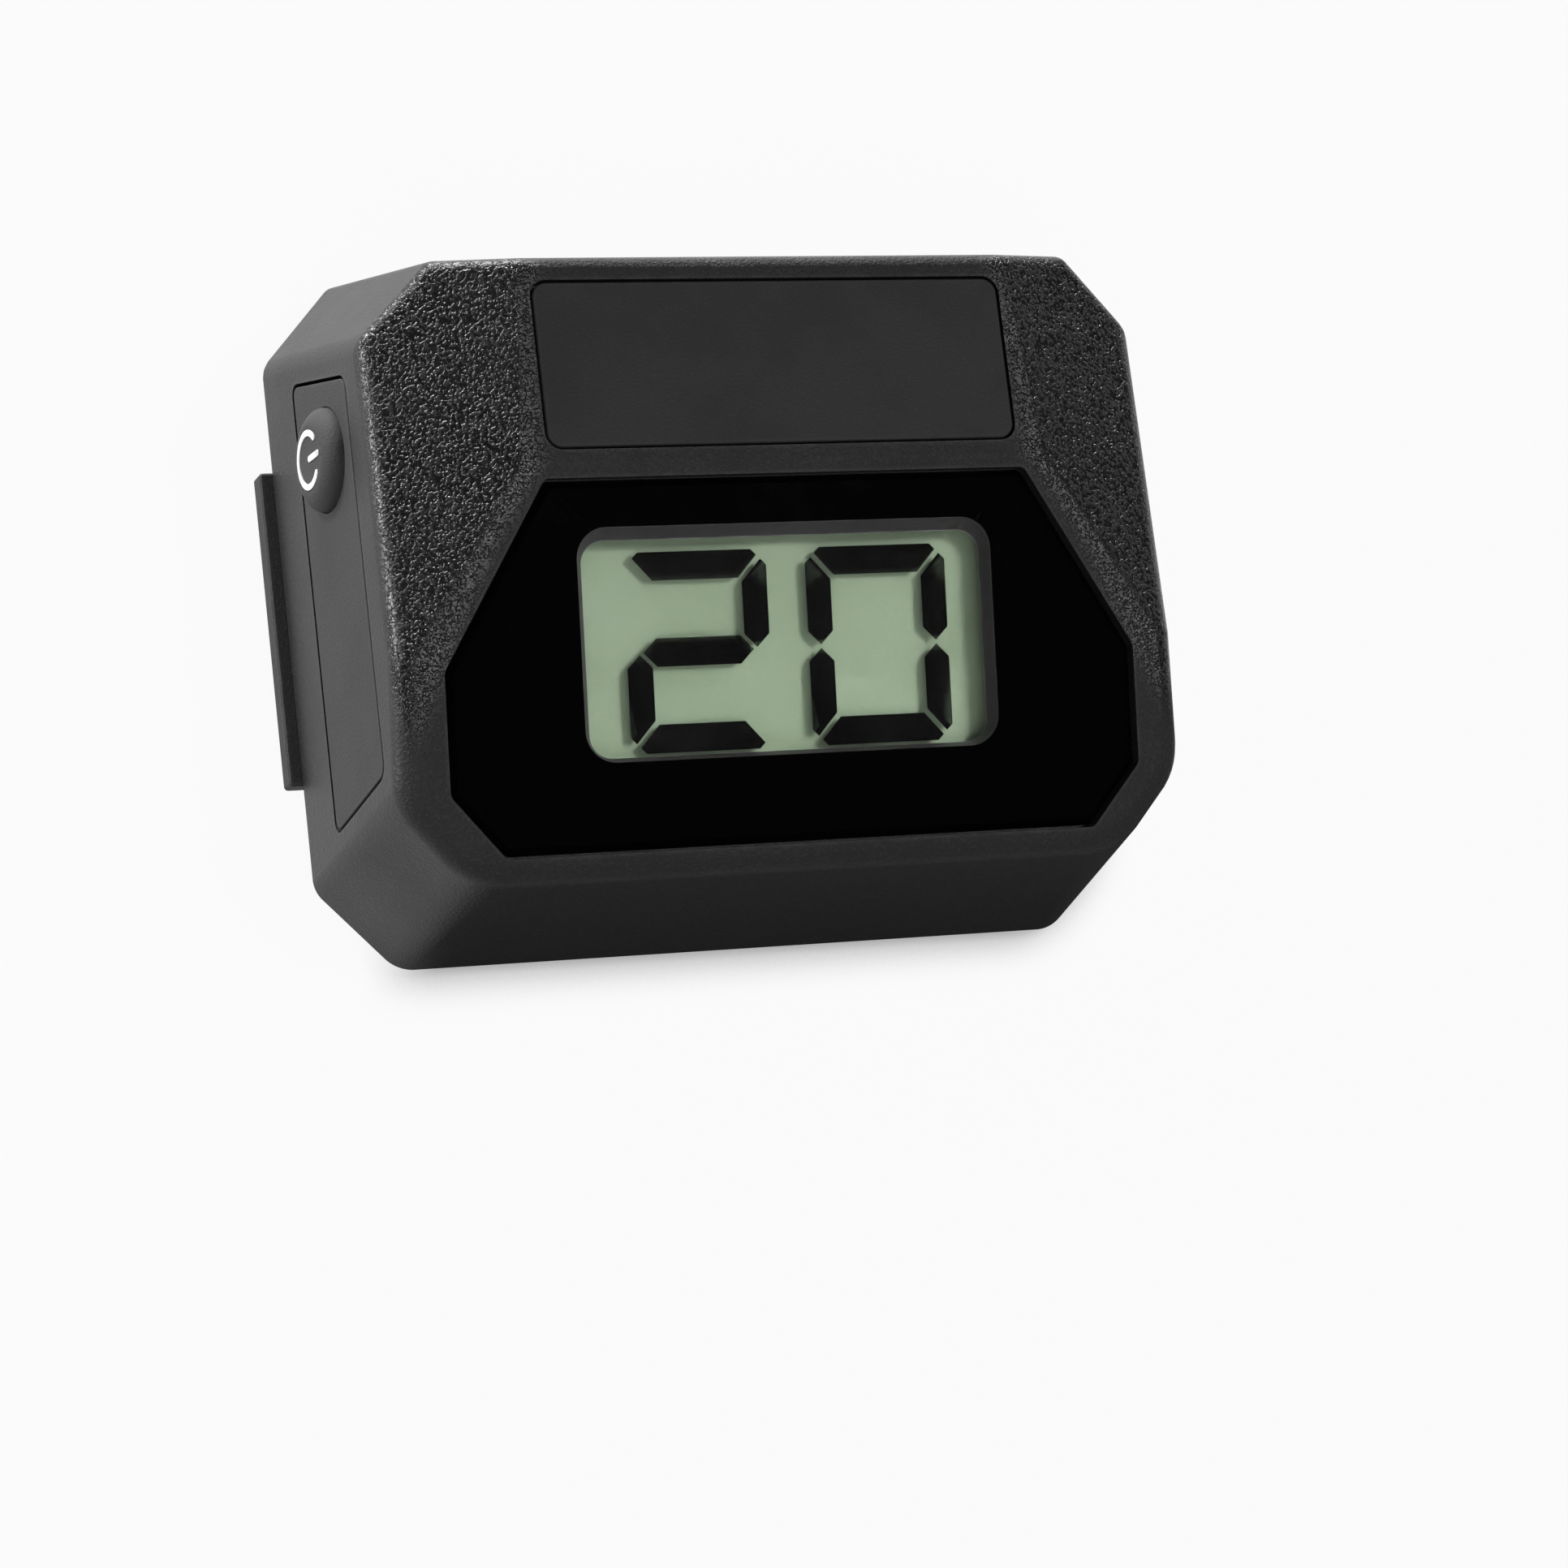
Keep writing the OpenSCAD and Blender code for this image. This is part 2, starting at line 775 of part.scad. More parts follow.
// Seven-segment figure with the segments named in lit
module figure(lit) {
    if (len(search("a", lit)) > 0)
        segment_bar();
    if (len(search("b", lit)) > 0)
        segment_post();
    if (len(search("c", lit)) > 0)
        mirror([0, 1])
            segment_post();
    if (len(search("d", lit)) > 0)
        mirror([0, 1])
            segment_bar();
    if (len(search("e", lit)) > 0)
        mirror([1, 0])
            mirror([0, 1])
                segment_post();
    if (len(search("f", lit)) > 0)
        mirror([1, 0])
            segment_post();
    if (len(search("g", lit)) > 0)
        segment_middle();
}

// Dark segments that read twenty
module display_figures() {
    color(soft_black)
        on_view()
            for (i = [0 : len(reading) - 1])
                translate([figure_dx + (i - (len(reading) - 1) / 2) * figure_pitch, -figure_dy, 0])
                    slab(figure_d, rear_glass_d)
                        figure(reading[i]);
}

// Rear glass of the display
module display_rear_glass() {
    color(clear_glass, 0.3)
        on_view()
            slab(rear_glass_d, reflector_d)
                square([glass_w, rear_glass_h], center = true);
}

// Reflector that gives the display its ground colour
module display_reflector() {
    color(grey_green)
        on_view()
            slab(reflector_d, shelf_d)
                square([glass_w, rear_glass_h], center = true);
}

// Frame that carries the display on the circuit board, with a shelf and slots for the connector strips
module display_holder() {
    color("#e8e8e4")
        on_view()
            difference() {
                slab(holder_d, board_d)
                    square([holder_w, holder_h], center = true);
                slab(holder_d - cut, figure_d)
                    square([glass_w + 2 * inner_gap, glass_h + 2 * inner_gap], center = true);
                slab(holder_d - cut, shelf_d)
                    square([glass_w + 2 * inner_gap, rear_glass_h + 2 * part_gap], center = true);
                slab(holder_d, board_d + cut)
                    square([glass_w - 2 * shelf_w, rear_glass_h - 2 * shelf_w], center = true);
                for (s = sides)
                    translate([0, s * strip_v, 0])
                        slab(holder_d, board_d + cut)
                            square([strip_l + 2 * inner_gap, strip_t + 2 * inner_gap], center = true);
            }
}

// Elastomer strips that join the front glass to the circuit board
module connector_strips() {
    color("#d98f9a")
        on_view()
            for (s = sides)
                translate([0, s * strip_v, 0])
                    slab(figure_d, board_d)
                        square([strip_l, strip_t], center = true);
}

// Circuit board, narrower beside the case screws
module circuit_board() {
    half = [
        [tongue_w, board_top], [tongue_w, board_shoulder], [board_w, board_shoulder],
        [board_w, -board_hip], [tongue_w, -board_hip], [tongue_w, -board_foot]
    ];
    color(board_green)
        difference() {
            on_display()
                slab(board_d, under_d)
                    polygon(concat(half, [for (i = [len(half) - 1 : -1 : 0]) [-half[i][0], half[i][1]]]));
            at_board_screws()
                slab(board_d - cut, under_d + cut)
                    circle(board_screw_r + part_gap);
        }
}

// Screws that hold the circuit board on its posts
module board_screws() {
    color(steel)
        at_board_screws() {
            slab(under_d - board_screw_l, under_d)
                circle(board_screw_r);
            slab(under_d, under_d + board_head_t)
                circle(post_r);
        }
}

// Drop of resin over the controller, in the display holder
module controller() {
    ball = (drop_r * drop_r + drop_h * drop_h) / (2 * drop_h);
    color(gloss_black)
        on_view()
            translate([0, 0, -board_d])
                intersection() {
                    translate([0, 0, drop_h - ball])
                        sphere(ball);
                    cylinder(r = ball, h = ball);
                }
}

// Tilt sensor on the back of the board
module tilt_sensor() {
    color(gloss_black)
        on_display()
            translate([sensor_x, -sensor_v, 0])
                slab(under_d, under_d + sensor_h)
                    square(sensor_w, center = true);
}

// Row of chip capacitors on the back of the board
module chip_capacitors() {
    color("#a07c52")
        on_display()
            for (i = [0 : chip_count - 1])
                translate([-sensor_x + i * chip_pitch, -sensor_v, 0])
                    slab(under_d, under_d + chip_w)
                        square([chip_w, chip_l], center = true);
}

// Crystal in its round can, lying on the back of the board
module crystal() {
    color(steel)
        on_display()
            translate([-can_l / 2, can_r - board_foot, -under_d - can_r])
                rotate([0, 90, 0])
                    cylinder(r = can_r, h = can_l);
}

// Switch at the edge of the board, with the bore of its plunger
module switch_body() {
    color(soft_black)
        difference() {
            on_display()
                translate([switch_d / 2 - board_w, switch_v, 0])
                    slab(under_d, under_d + switch_h)
                        square([switch_d, switch_w], center = true);
            on_button()
                slab(-switch_face - cut, -plunger_foot + button_travel + slide_gap)
                    circle(plunger_r + slide_gap);
        }
}

// Plunger of the switch
module switch_plunger() {
    color("#d8d4c8")
        on_button()
            slab(-plunger_top, -plunger_foot)
                circle(plunger_r);
}

// Coin cell with its stepped negative cap towards the board
module coin_cell() {
    color(steel)
        on_cell() {
            slab(cell_d, cell_d + cap_step)
                circle(cell_r - 2 * cap_step);
            slab(cell_d + cap_step, clip_d)
                circle(cell_r);
        }
}

// Children are placed on the coin cell's axis
module on_cell() {
    on_display()
        translate([0, -cell_v, 0])
            children();
}

// Ring that holds the coin cell
module cell_holder() {
    color(soft_black)
        on_cell()
            difference() {
                slab(under_d, clip_d - inner_gap)
                    circle(cup_r);
                slab(under_d - cut, clip_d + cut)
                    circle(cell_r + inner_gap);
            }
}

// Positive clip over the coin cell, with a leg to the board on each side
module cell_clip() {
    x = cup_r + inner_gap;
    color(steel)
        on_cell() {
            slab(clip_d, clip_d + contact_t)
                square([2 * (x + contact_t), clip_w], center = true);
            for (s = sides)
                translate([s * (x + contact_t / 2), 0, 0])
                    slab(under_d, clip_d)
                        square([contact_t, clip_w], center = true);
        }
}

// Negative contact between the board and the coin cell
module cell_contact() {
    color(gold)
        on_cell()
            slab(under_d, cell_d)
                circle(pad_r);
}

// Cover let into the back of the case, with magnet cups, screw seats and pin holes
module rear_cover() {
    color(charcoal)
        difference() {
            union() {
                on_back()
                    linear_extrude(cover_t)
                        polygon(back_outline(lip + seat_gap));
                at_magnets()
                    cylinder(r = magnet_r + inner_gap + magnet_wall, h = magnet_t + magnet_wall);
            }
            at_magnets()
                translate([0, 0, -cut])
                    cylinder(r = magnet_r + inner_gap, h = magnet_t + cut);
            at_screws() {
                translate([0, 0, -cut])
                    cylinder(r = screw_r + part_gap, h = cover_t + 2 * cut);
                translate([0, 0, -cut])
                    cylinder(r = head_r + inner_gap, h = head_sink + head_t + cut);
            }
            on_back()
                for (s = sides)
                    translate([s * pin_x, 0, -cut])
                        cylinder(r = pin_r + inner_gap, h = pin_l + inner_gap + cut);
        }
}

// Screws that hold the rear cover, with a cross in each head
module case_screws() {
    color(steel)
        at_screws()
            translate([0, 0, head_sink])
                difference() {
                    union() {
                        cylinder(r = head_r, h = head_t);
                        cylinder(r = screw_r, h = head_t + screw_l);
                    }
                    for (a = [0, 90])
                        rotate([0, 0, a])
                            cube([2 * head_r - cross_edge, cross_w, head_t], center = true);
                }
}

// Magnets in the cups of the rear cover
module magnets() {
    color(steel)
        at_magnets()
            cylinder(r = magnet_r, h = magnet_t);
}

// Base plate over the magnets, with bevelled edges and two locating pins
module base_plate() {
    w = case_w + 2 * plate_over;
    inner_r = max(plate_r - plate_bevel, skin);
    color(charcoal)
        union() {
            hull() {
                translate([0, 0, plate_bevel])
                    linear_extrude(plate_t - 2 * plate_bevel)
                        round_rect(w, plate_h, plate_r);
                linear_extrude(plate_t)
                    round_rect(w - 2 * plate_bevel, plate_h - 2 * plate_bevel, inner_r);
            }
            for (s = sides)
                translate([s * pin_x, 0, plate_t - plate_bevel])
                    cylinder(r = pin_r, h = pin_l + plate_bevel);
        }
}

housing();
top_inlay();
side_panel();
power_button();
power_symbol();
window_lens();
window_mask();
display_bezel();
display_front_glass();
display_figures();
display_rear_glass();
display_reflector();
display_holder();
connector_strips();
circuit_board();
board_screws();
controller();
tilt_sensor();
chip_capacitors();
crystal();
switch_body();
switch_plunger();
coin_cell();
cell_holder();
cell_clip();
cell_contact();
rear_cover();
case_screws();
magnets();
base_plate();
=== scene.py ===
import math

import bpy
from mathutils import Matrix, Vector


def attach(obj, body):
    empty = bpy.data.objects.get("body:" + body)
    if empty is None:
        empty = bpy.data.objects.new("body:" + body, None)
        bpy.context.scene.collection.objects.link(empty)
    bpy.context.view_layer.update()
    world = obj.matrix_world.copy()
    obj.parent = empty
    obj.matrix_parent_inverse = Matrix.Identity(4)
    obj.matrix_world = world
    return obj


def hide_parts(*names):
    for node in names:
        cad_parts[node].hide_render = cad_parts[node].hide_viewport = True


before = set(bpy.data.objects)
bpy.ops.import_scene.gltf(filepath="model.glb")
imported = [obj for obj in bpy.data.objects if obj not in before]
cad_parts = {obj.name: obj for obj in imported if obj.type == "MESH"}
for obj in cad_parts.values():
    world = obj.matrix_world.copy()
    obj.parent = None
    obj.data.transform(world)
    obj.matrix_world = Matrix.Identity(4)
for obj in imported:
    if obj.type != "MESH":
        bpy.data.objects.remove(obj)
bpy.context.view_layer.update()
mm = 0.001
scene = bpy.context.scene
scene.view_settings.view_transform = "Standard"
print("stage: frame loaded,", len(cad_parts), "nodes")


# ways of working
cutting = {"threshold": 0.0001}
smoothing = {"angle": 32, "weight": 90}


def pick(piece):
    if bpy.context.mode != "OBJECT":
        bpy.ops.object.mode_set(mode="OBJECT")
    bpy.ops.object.select_all(action="DESELECT")
    piece.select_set(True)
    bpy.context.view_layer.objects.active = piece


def addBlock(name, low, high):
    bpy.ops.object.select_all(action="DESELECT")
    middle = [(a + b) / 2 * mm for a, b in zip(low, high)]
    size = [(b - a) * mm for a, b in zip(low, high)]
    bpy.ops.mesh.primitive_cube_add(size=1, location=middle, scale=size)
    block = bpy.context.object
    block.name = name
    bpy.ops.object.transform_apply(location=True, rotation=True, scale=True)
    return block


def addRod(name, radius, low, high, at=(0, 0), sides=64):
    bpy.ops.object.select_all(action="DESELECT")
    middle = (at[0] * mm, at[1] * mm, (low + high) / 2 * mm)
    bpy.ops.mesh.primitive_cylinder_add(
        vertices=sides, radius=radius * mm, depth=(high - low) * mm, location=middle)
    rod = bpy.context.object
    rod.name = name
    bpy.ops.object.transform_apply(location=True, rotation=True, scale=True)
    return rod


def shave(piece, point, normal):
    pick(piece)
    bpy.ops.object.mode_set(mode="EDIT")
    bpy.ops.mesh.select_all(action="SELECT")
    bpy.ops.mesh.bisect(
        plane_co=Vector(point) * mm, plane_no=normal, use_fill=True, clear_outer=True,
        threshold=cutting["threshold"] * mm)
    bpy.ops.object.mode_set(mode="OBJECT")


def chooseFaces(piece, test):
    pick(piece)
    bpy.context.tool_settings.mesh_select_mode = (False, False, True)
    mesh = piece.data
    for group in (mesh.vertices, mesh.edges, mesh.polygons):
        group.foreach_set("select", [False] * len(group))
    for face in mesh.polygons:
        face.select = test(face.center / mm, face.normal)
    bpy.ops.object.mode_set(mode="EDIT")


def chooseEdges(piece, test):
    pick(piece)
    bpy.context.tool_settings.mesh_select_mode = (False, True, False)
    mesh = piece.data
    for group in (mesh.vertices, mesh.edges, mesh.polygons):
        group.foreach_set("select", [False] * len(group))
    for edge in mesh.edges:
        ends = [mesh.vertices[i].co / mm for i in edge.vertices]
        edge.select = test(*ends)
    bpy.ops.object.mode_set(mode="EDIT")


def roundEdges(piece, test, width, steps):
    chooseEdges(piece, test)
    bpy.ops.mesh.bevel(offset=width * mm, segments=steps, profile=0.5, affect="EDGES")
    bpy.ops.object.mode_set(mode="OBJECT")


closeEnough = 0.001


def uprightEdge(a, b):
    return abs(a.x - b.x) < closeEnough and abs(a.y - b.y) < closeEnough


def levelEdge(level):
    return lambda a, b: abs(a.z - level) < closeEnough and abs(b.z - level) < closeEnough


def carve(piece, tool, operation="DIFFERENCE"):
    cut = piece.modifiers.new("carve", "BOOLEAN")
    cut.operation = operation
    cut.solver = "EXACT"
    cut.object = tool
    pick(piece)
    bpy.ops.object.modifier_apply(modifier=cut.name)
    bpy.data.objects.remove(tool, do_unlink=True)


def settle(piece, place):
    piece.matrix_world = place
    pick(piece)
    bpy.ops.object.transform_apply(location=True, rotation=True, scale=True)


def smooth(piece, angle=smoothing["angle"]):
    pick(piece)
    bpy.ops.object.shade_smooth_by_angle(angle=math.radians(angle))
    even = piece.modifiers.new("even", "WEIGHTED_NORMAL")
    even.keep_sharp = True
    even.weight = smoothing["weight"]
    bpy.ops.object.modifier_apply(modifier=even.name)


def dress(piece, finish):
    piece.data.materials.clear()
    piece.data.materials.append(finish)


# camera: long lens from the lower left, above the display
viewCamera = {
    "place": (-77.236, -47.644, 210.542),
    "turn": (12.2535, -19.8649, -7.0246),
    "lens": 104.45, "sensor": 36, "near": 0.01,
}
cameraData = bpy.data.cameras.new("viewCamera")
cameraData.lens = viewCamera["lens"]
cameraData.sensor_width = viewCamera["sensor"]
cameraData.clip_start = viewCamera["near"]
camera = bpy.data.objects.new("viewCamera", cameraData)
scene.collection.objects.link(camera)
camera.location = Vector(viewCamera["place"]) * mm
camera.rotation_euler = [math.radians(a) for a in viewCamera["turn"]]
scene.camera = camera
print("stage: camera")


# moulded case: a block with its walls and facets shaved off, then rounded and hollowed
caseShape = {
    "width": 42, "height": 34.3, "depth": 15.2, "back": 1.2,
    "cornerWidth": 3.75, "cornerHeight": 4.1,
    "sideDraft": 5.6, "crownDraft": 12.2, "chinDraft": 10.3, "upperDraft": 11.5, "lowerDraft": 10,
    "browY": 3.9, "browHalf": 13.2, "crownHalf": 12.4, "runoutY": -6, "tilt": 10.4,
    "wall": 1.8, "sideWall": 2.4, "frontWall": 2.2, "coverThick": 2, "coverSeat": 0.5, "lip": 1.2,
    "blank": (22, 18, 18), "edgeSteps": 6, "backRadius": 0.2,
}
# lower corners: cones that grow rounder towards the front
softCorners = {
    "chin": {"angle": 13, "drop": 9, "steps": 6},
    "flank": {"angle": 9, "drop": 10, "steps": 5},
}
# radii of the edges between two faces
caseRadii = {
    ("brow", "top"): 0.5, ("facet", "top"): 0.5, ("brow", "facet"): 0.8,
    ("crown", "top"): 0.7, ("crown", "facet"): 0.8, ("facet", "upper"): 0.8, ("facet", "flank"): 1.3,
    ("brow", "flank"): 1.1, ("brow", "lower"): 1.5, ("brow", "chin"): 1.5,
    ("brow", "soft"): 1.5, ("back", "soft"): 0.2, ("flank", "upper"): 1.6, ("crown", "upper"): 0.7,
    ("chin", "soft"): 0, ("lower", "soft"): 0, ("flank", "soft"): 0, ("soft", "soft"): 0,
}

# frames of the display facet and of the left wall, as the part is built
displayFrame = Matrix.Translation(
    Vector((0, caseShape["browY"], caseShape["back"] + caseShape["depth"])) * mm
) @ Matrix.Rotation(math.radians(caseShape["tilt"]), 4, "X")
flankFrame = Matrix.Translation(
    Vector((-caseShape["width"] / 2, 0, caseShape["back"])) * mm
) @ Matrix.Rotation(math.radians(caseShape["sideDraft"] - 90), 4, "Y")


def slope(angle):
    return math.tan(math.radians(angle))


def casePlanes(shape):
    w, h, d, back = shape["width"] / 2, shape["height"] / 2, shape["depth"], shape["back"]
    browY, tilt = shape["browY"], shape["tilt"]
    crownY = h - d * slope(shape["crownDraft"])
    runDepth = d + (shape["runoutY"] - browY) * slope(tilt)
    runHalf = w - runDepth * slope(shape["sideDraft"])
    planes = [
        ("crown", (0, h, back), (0, 1, slope(shape["crownDraft"]))),
        ("chin", (0, -h, back), (0, -1, slope(shape["chinDraft"]))),
        ("back", (0, 0, back), (0, 0, -1)),
        ("top", (0, 0, back + d), (0, 0, 1)),
        ("brow", (0, browY, back + d), (0, -math.sin(math.radians(tilt)), math.cos(math.radians(tilt)))),
    ]
    for s in (-1, 1):
        planes.append(("flank", (s * w, 0, back), (s, 0, slope(shape["sideDraft"]))))
        for k, kind in ((1, "upper"), (-1, "lower")):
            n = Vector((s * shape["cornerHeight"], k * shape["cornerWidth"], 0)).normalized()
            n.z = slope(shape[kind + "Draft"])
            planes.append((kind, (s * w, k * (h - shape["cornerHeight"]), back), n))
        a = Vector((s * shape["browHalf"], browY, back + d))
        b = Vector((s * shape["crownHalf"], crownY, back + d))
        c = Vector((s * runHalf, shape["runoutY"], back + runDepth))
        planes.append(("facet", a, s * (c - a).cross(b - a)))
    return [(kind, Vector(point), Vector(normal).normalized()) for kind, point, normal in planes]


# planes of a cone that rolls from one wall to the next, with its tip on their edge below the back
def conePlanes(one, two, look):
    along = one[2].cross(two[2]).normalized()
    if along.z < 0:
        along = -along
    outward = (one[2] + two[2]).normalized()
    flat = Matrix((one[2], two[2], (0, 0, 1)))
    tip = flat.inverted() @ Vector((one[2].dot(one[1]), two[2].dot(two[1]), caseShape["back"] - look["drop"]))
    lean = math.radians(look["angle"])
    axis = along * math.cos(lean) - outward * math.sin(lean)
    first, last = [wall[2] - axis * wall[2].dot(axis) for wall in (one, two)]
    whole = first.angle(last)
    if first.cross(last).dot(axis) < 0:
        whole = -whole
    turns = [whole * k / (look["steps"] + 1) for k in range(1, look["steps"] + 1)]
    return [("soft", tip, Matrix.Rotation(turn, 3, axis) @ one[2]) for turn in turns]


def gemPlanes():
    planes = casePlanes(caseShape)
    chin = [p for p in planes if p[0] == "chin"][0]
    for lower in [p for p in planes if p[0] == "lower"]:
        flank = [p for p in planes if p[0] == "flank" and p[2].x * lower[2].x > 0][0]
        planes += conePlanes(lower, chin, softCorners["chin"]) + conePlanes(lower, flank, softCorners["flank"])
    return planes


def makeGem(name, insets):
    x, y, z = caseShape["blank"]
    block = addBlock(name, (-x, -y, 0), (x, y, z))
    for kind, point, normal in gemPlanes():
        shave(block, point - normal * insets.get(kind, 0), normal)
    return block


def roundGem(block):
    planes = gemPlanes()
    mesh = block.data
    kinds = [max(planes, key=lambda p: p[2].dot(face.normal))[0] for face in mesh.polygons]
    touching = {}
    for face in mesh.polygons:
        for key in face.edge_keys:
            touching.setdefault(key, []).append(face.index)
    widest = max(caseRadii.values()) * mm
    weights = mesh.attributes.new("bevel_weight_edge", "FLOAT", "EDGE")
    for edge in mesh.edges:
        one, two = touching[tuple(sorted(edge.vertices))]
        pair = tuple(sorted((kinds[one], kinds[two])))
        radius = caseRadii.get(pair, caseShape["backRadius"])
        turn = mesh.polygons[one].normal.angle(mesh.polygons[two].normal)
        weights.data[edge.index].value = min(1.0, radius * math.tan(turn / 2) * mm / widest)
    soften = block.modifiers.new("soften", "BEVEL")
    soften.limit_method = "WEIGHT"
    soften.offset_type = "OFFSET"
    soften.width = widest
    soften.segments = caseShape["edgeSteps"]
    soften.use_clamp_overlap = False
    pick(block)
    bpy.ops.object.modifier_apply(modifier=soften.name)


# window: an eight-sided plate in the frame of the display facet
windowShape = {
    "topY": -0.7, "shoulderY": -9.45, "lowY": -15.2, "footY": -18.2,
    "topHalf": 12.1, "half": 17.4, "footHalf": 14.85,
    "corner": 0.2, "cornerSteps": 8, "gap": 0.12, "sink": 0.1, "thick": 1.0, "bevel": 0.35, "bevelSteps": 1,
    "smoothAngle": 25, "seatRise": 2, "seatGap": 0.15,
}


def windowPlate(name, inset, top, bottom):
    shape = windowShape
    half = shape["half"] - inset
    plate = addBlock(name, (-half, shape["footY"] + inset, -bottom), (half, shape["topY"] - inset, -top))
    slant = Vector((shape["topY"] - shape["shoulderY"], shape["half"] - shape["topHalf"], 0)).normalized()
    heel = Vector((shape["lowY"] - shape["footY"], shape["footHalf"] - shape["half"], 0)).normalized()
    for s in (-1, 1):
        for point, n in (((shape["half"], shape["shoulderY"], 0), slant), ((shape["half"], shape["lowY"], 0), heel)):
            shave(plate, ((point[0] - n.x * inset) * s, point[1] - n.y * inset, 0), (n.x * s, n.y, 0))
    roundEdges(plate, uprightEdge, shape["corner"], shape["cornerSteps"])
    return plate


def makeWindow():
    shape = windowShape
    lens = windowPlate("windowLens", shape["gap"], shape["sink"], shape["sink"] + shape["thick"])
    top = -shape["sink"]
    roundEdges(lens, levelEdge(top), shape["bevel"], shape["bevelSteps"])
    settle(lens, displayFrame)
    smooth(lens, shape["smoothAngle"])
    return lens


# inlay: a rounded plate in the top facet
inlayShape = {
    "half": 11.9, "lowY": 4.55, "highY": 12.744, "level": 16.4, "thick": 0.8,
    "corner": 0.85, "cornerSteps": 10, "gap": 0.12, "rim": 0.1, "rimSteps": 3, "seatRise": 2,
}


def inlayPlate(name, inset, rise):
    shape = inlayShape
    low = (inset - shape["half"], shape["lowY"] + inset, shape["level"] - shape["thick"])
    high = (shape["half"] - inset, shape["highY"] - inset, shape["level"] + rise)
    plate = addBlock(name, low, high)
    roundEdges(plate, uprightEdge, shape["corner"] - inset, shape["cornerSteps"])
    return plate


def makeInlay():
    shape = inlayShape
    inlay = inlayPlate("topInlay", shape["gap"], 0)
    roundEdges(inlay, levelEdge(shape["level"]), shape["rim"], shape["rimSteps"])
    smooth(inlay)
    return inlay


# side panel: a slanted plate in the left wall, with the hole for the button
panelShape = {
    "back": 3.9, "front": 10.9, "backHalf": 11.1, "frontHalf": 9.6, "thick": 1,
    "blankHalf": 11.9, "gap": 0.16, "corner": 0.7, "cornerSteps": 6, "rim": 0.07, "rimSteps": 3,
    "seatRise": 2, "holeReach": 3,
}
buttonShape = {
    "along": 7.4, "up": 6.4, "radius": 2.48, "face": 1.6, "height": 0.85, "foot": 0.05,
    "gap": 0.16, "panelGap": 0.02, "flange": 3.2, "flangeTop": -1.08, "flangeFoot": -1.68,
    "stem": 1.0, "stemFoot": -4.0, "boreFoot": -4, "rings": 12, "fullness": 1.25, "sides": 96, "smoothAngle": 40,
}


def panelPlate(name, inset, rise):
    shape = panelShape
    plate = addBlock(
        name, (shape["back"] + inset, -shape["blankHalf"], -shape["thick"]),
        (shape["front"] - inset, shape["blankHalf"], rise))
    n = Vector((shape["backHalf"] - shape["frontHalf"], shape["front"] - shape["back"], 0)).normalized()
    for s in (-1, 1):
        point = (shape["back"] - n.x * inset, s * (shape["backHalf"] - n.y * inset), 0)
        shave(plate, point, (n.x, s * n.y, 0))
    roundEdges(plate, uprightEdge, shape["corner"] - inset, shape["cornerSteps"])
    return plate


def makePanel():
    shape, button = panelShape, buttonShape
    panel = panelPlate("sidePanel", shape["gap"], 0)
    deep, spot = shape["holeReach"], (button["along"], button["up"])
    hole = addRod("hole", button["radius"] + button["panelGap"], -deep, deep, spot, button["sides"])
    carve(panel, hole)
    roundEdges(panel, levelEdge(0), shape["rim"], shape["rimSteps"])
    settle(panel, flankFrame)
    smooth(panel)
    return panel


def makeButton():
    shape = buttonShape
    button = addRod("powerButton", shape["radius"], shape["flangeTop"], shape["foot"], sides=shape["sides"])
    # dome: the face drawn up and in, ring by ring
    chooseFaces(button, lambda c, n: n.z > 0.9)
    reach, level = shape["radius"], shape["foot"]
    for ring in range(1, shape["rings"] + 1):
        turn = ring / shape["rings"] * math.pi / 2
        newReach = shape["face"] + (shape["radius"] - shape["face"]) * math.cos(turn) ** shape["fullness"]
        newLevel = shape["foot"] + (shape["height"] - shape["foot"]) * math.sin(turn)
        bpy.ops.mesh.extrude_region_move(TRANSFORM_OT_translate={"value": (0, 0, (newLevel - level) * mm)})
        bpy.ops.transform.resize(value=(newReach / reach, newReach / reach, 1))
        reach, level = newReach, newLevel
    bpy.ops.object.mode_set(mode="OBJECT")
    # flange and stem behind the panel
    reach, level = shape["radius"], shape["flangeTop"]
    for radius, foot in ((shape["flange"], shape["flangeFoot"]), (shape["stem"], shape["stemFoot"])):
        chooseFaces(button, lambda c, n: n.z < -0.9 and abs(c.x) < 0.01 and abs(c.y) < 0.01)
        bpy.ops.mesh.extrude_region_move()
        bpy.ops.transform.resize(value=(radius / reach, radius / reach, 1))
        bpy.ops.mesh.extrude_region_move(TRANSFORM_OT_translate={"value": (0, 0, (foot - level) * mm)})
        bpy.ops.object.mode_set(mode="OBJECT")
        reach, level = radius, foot
    settle(button, flankFrame @ Matrix.Translation(Vector((shape["along"], shape["up"], 0)) * mm))
    smooth(button, shape["smoothAngle"])
    return button


# mark printed on the button: an open ring and a bar with round ends
markShape = {
    "radius": 1.28, "line": 0.3, "height": 0.05, "opening": 84, "barFrom": 0.2, "barTo": 1.3, "steps": 48,
    "endSides": 32,
}


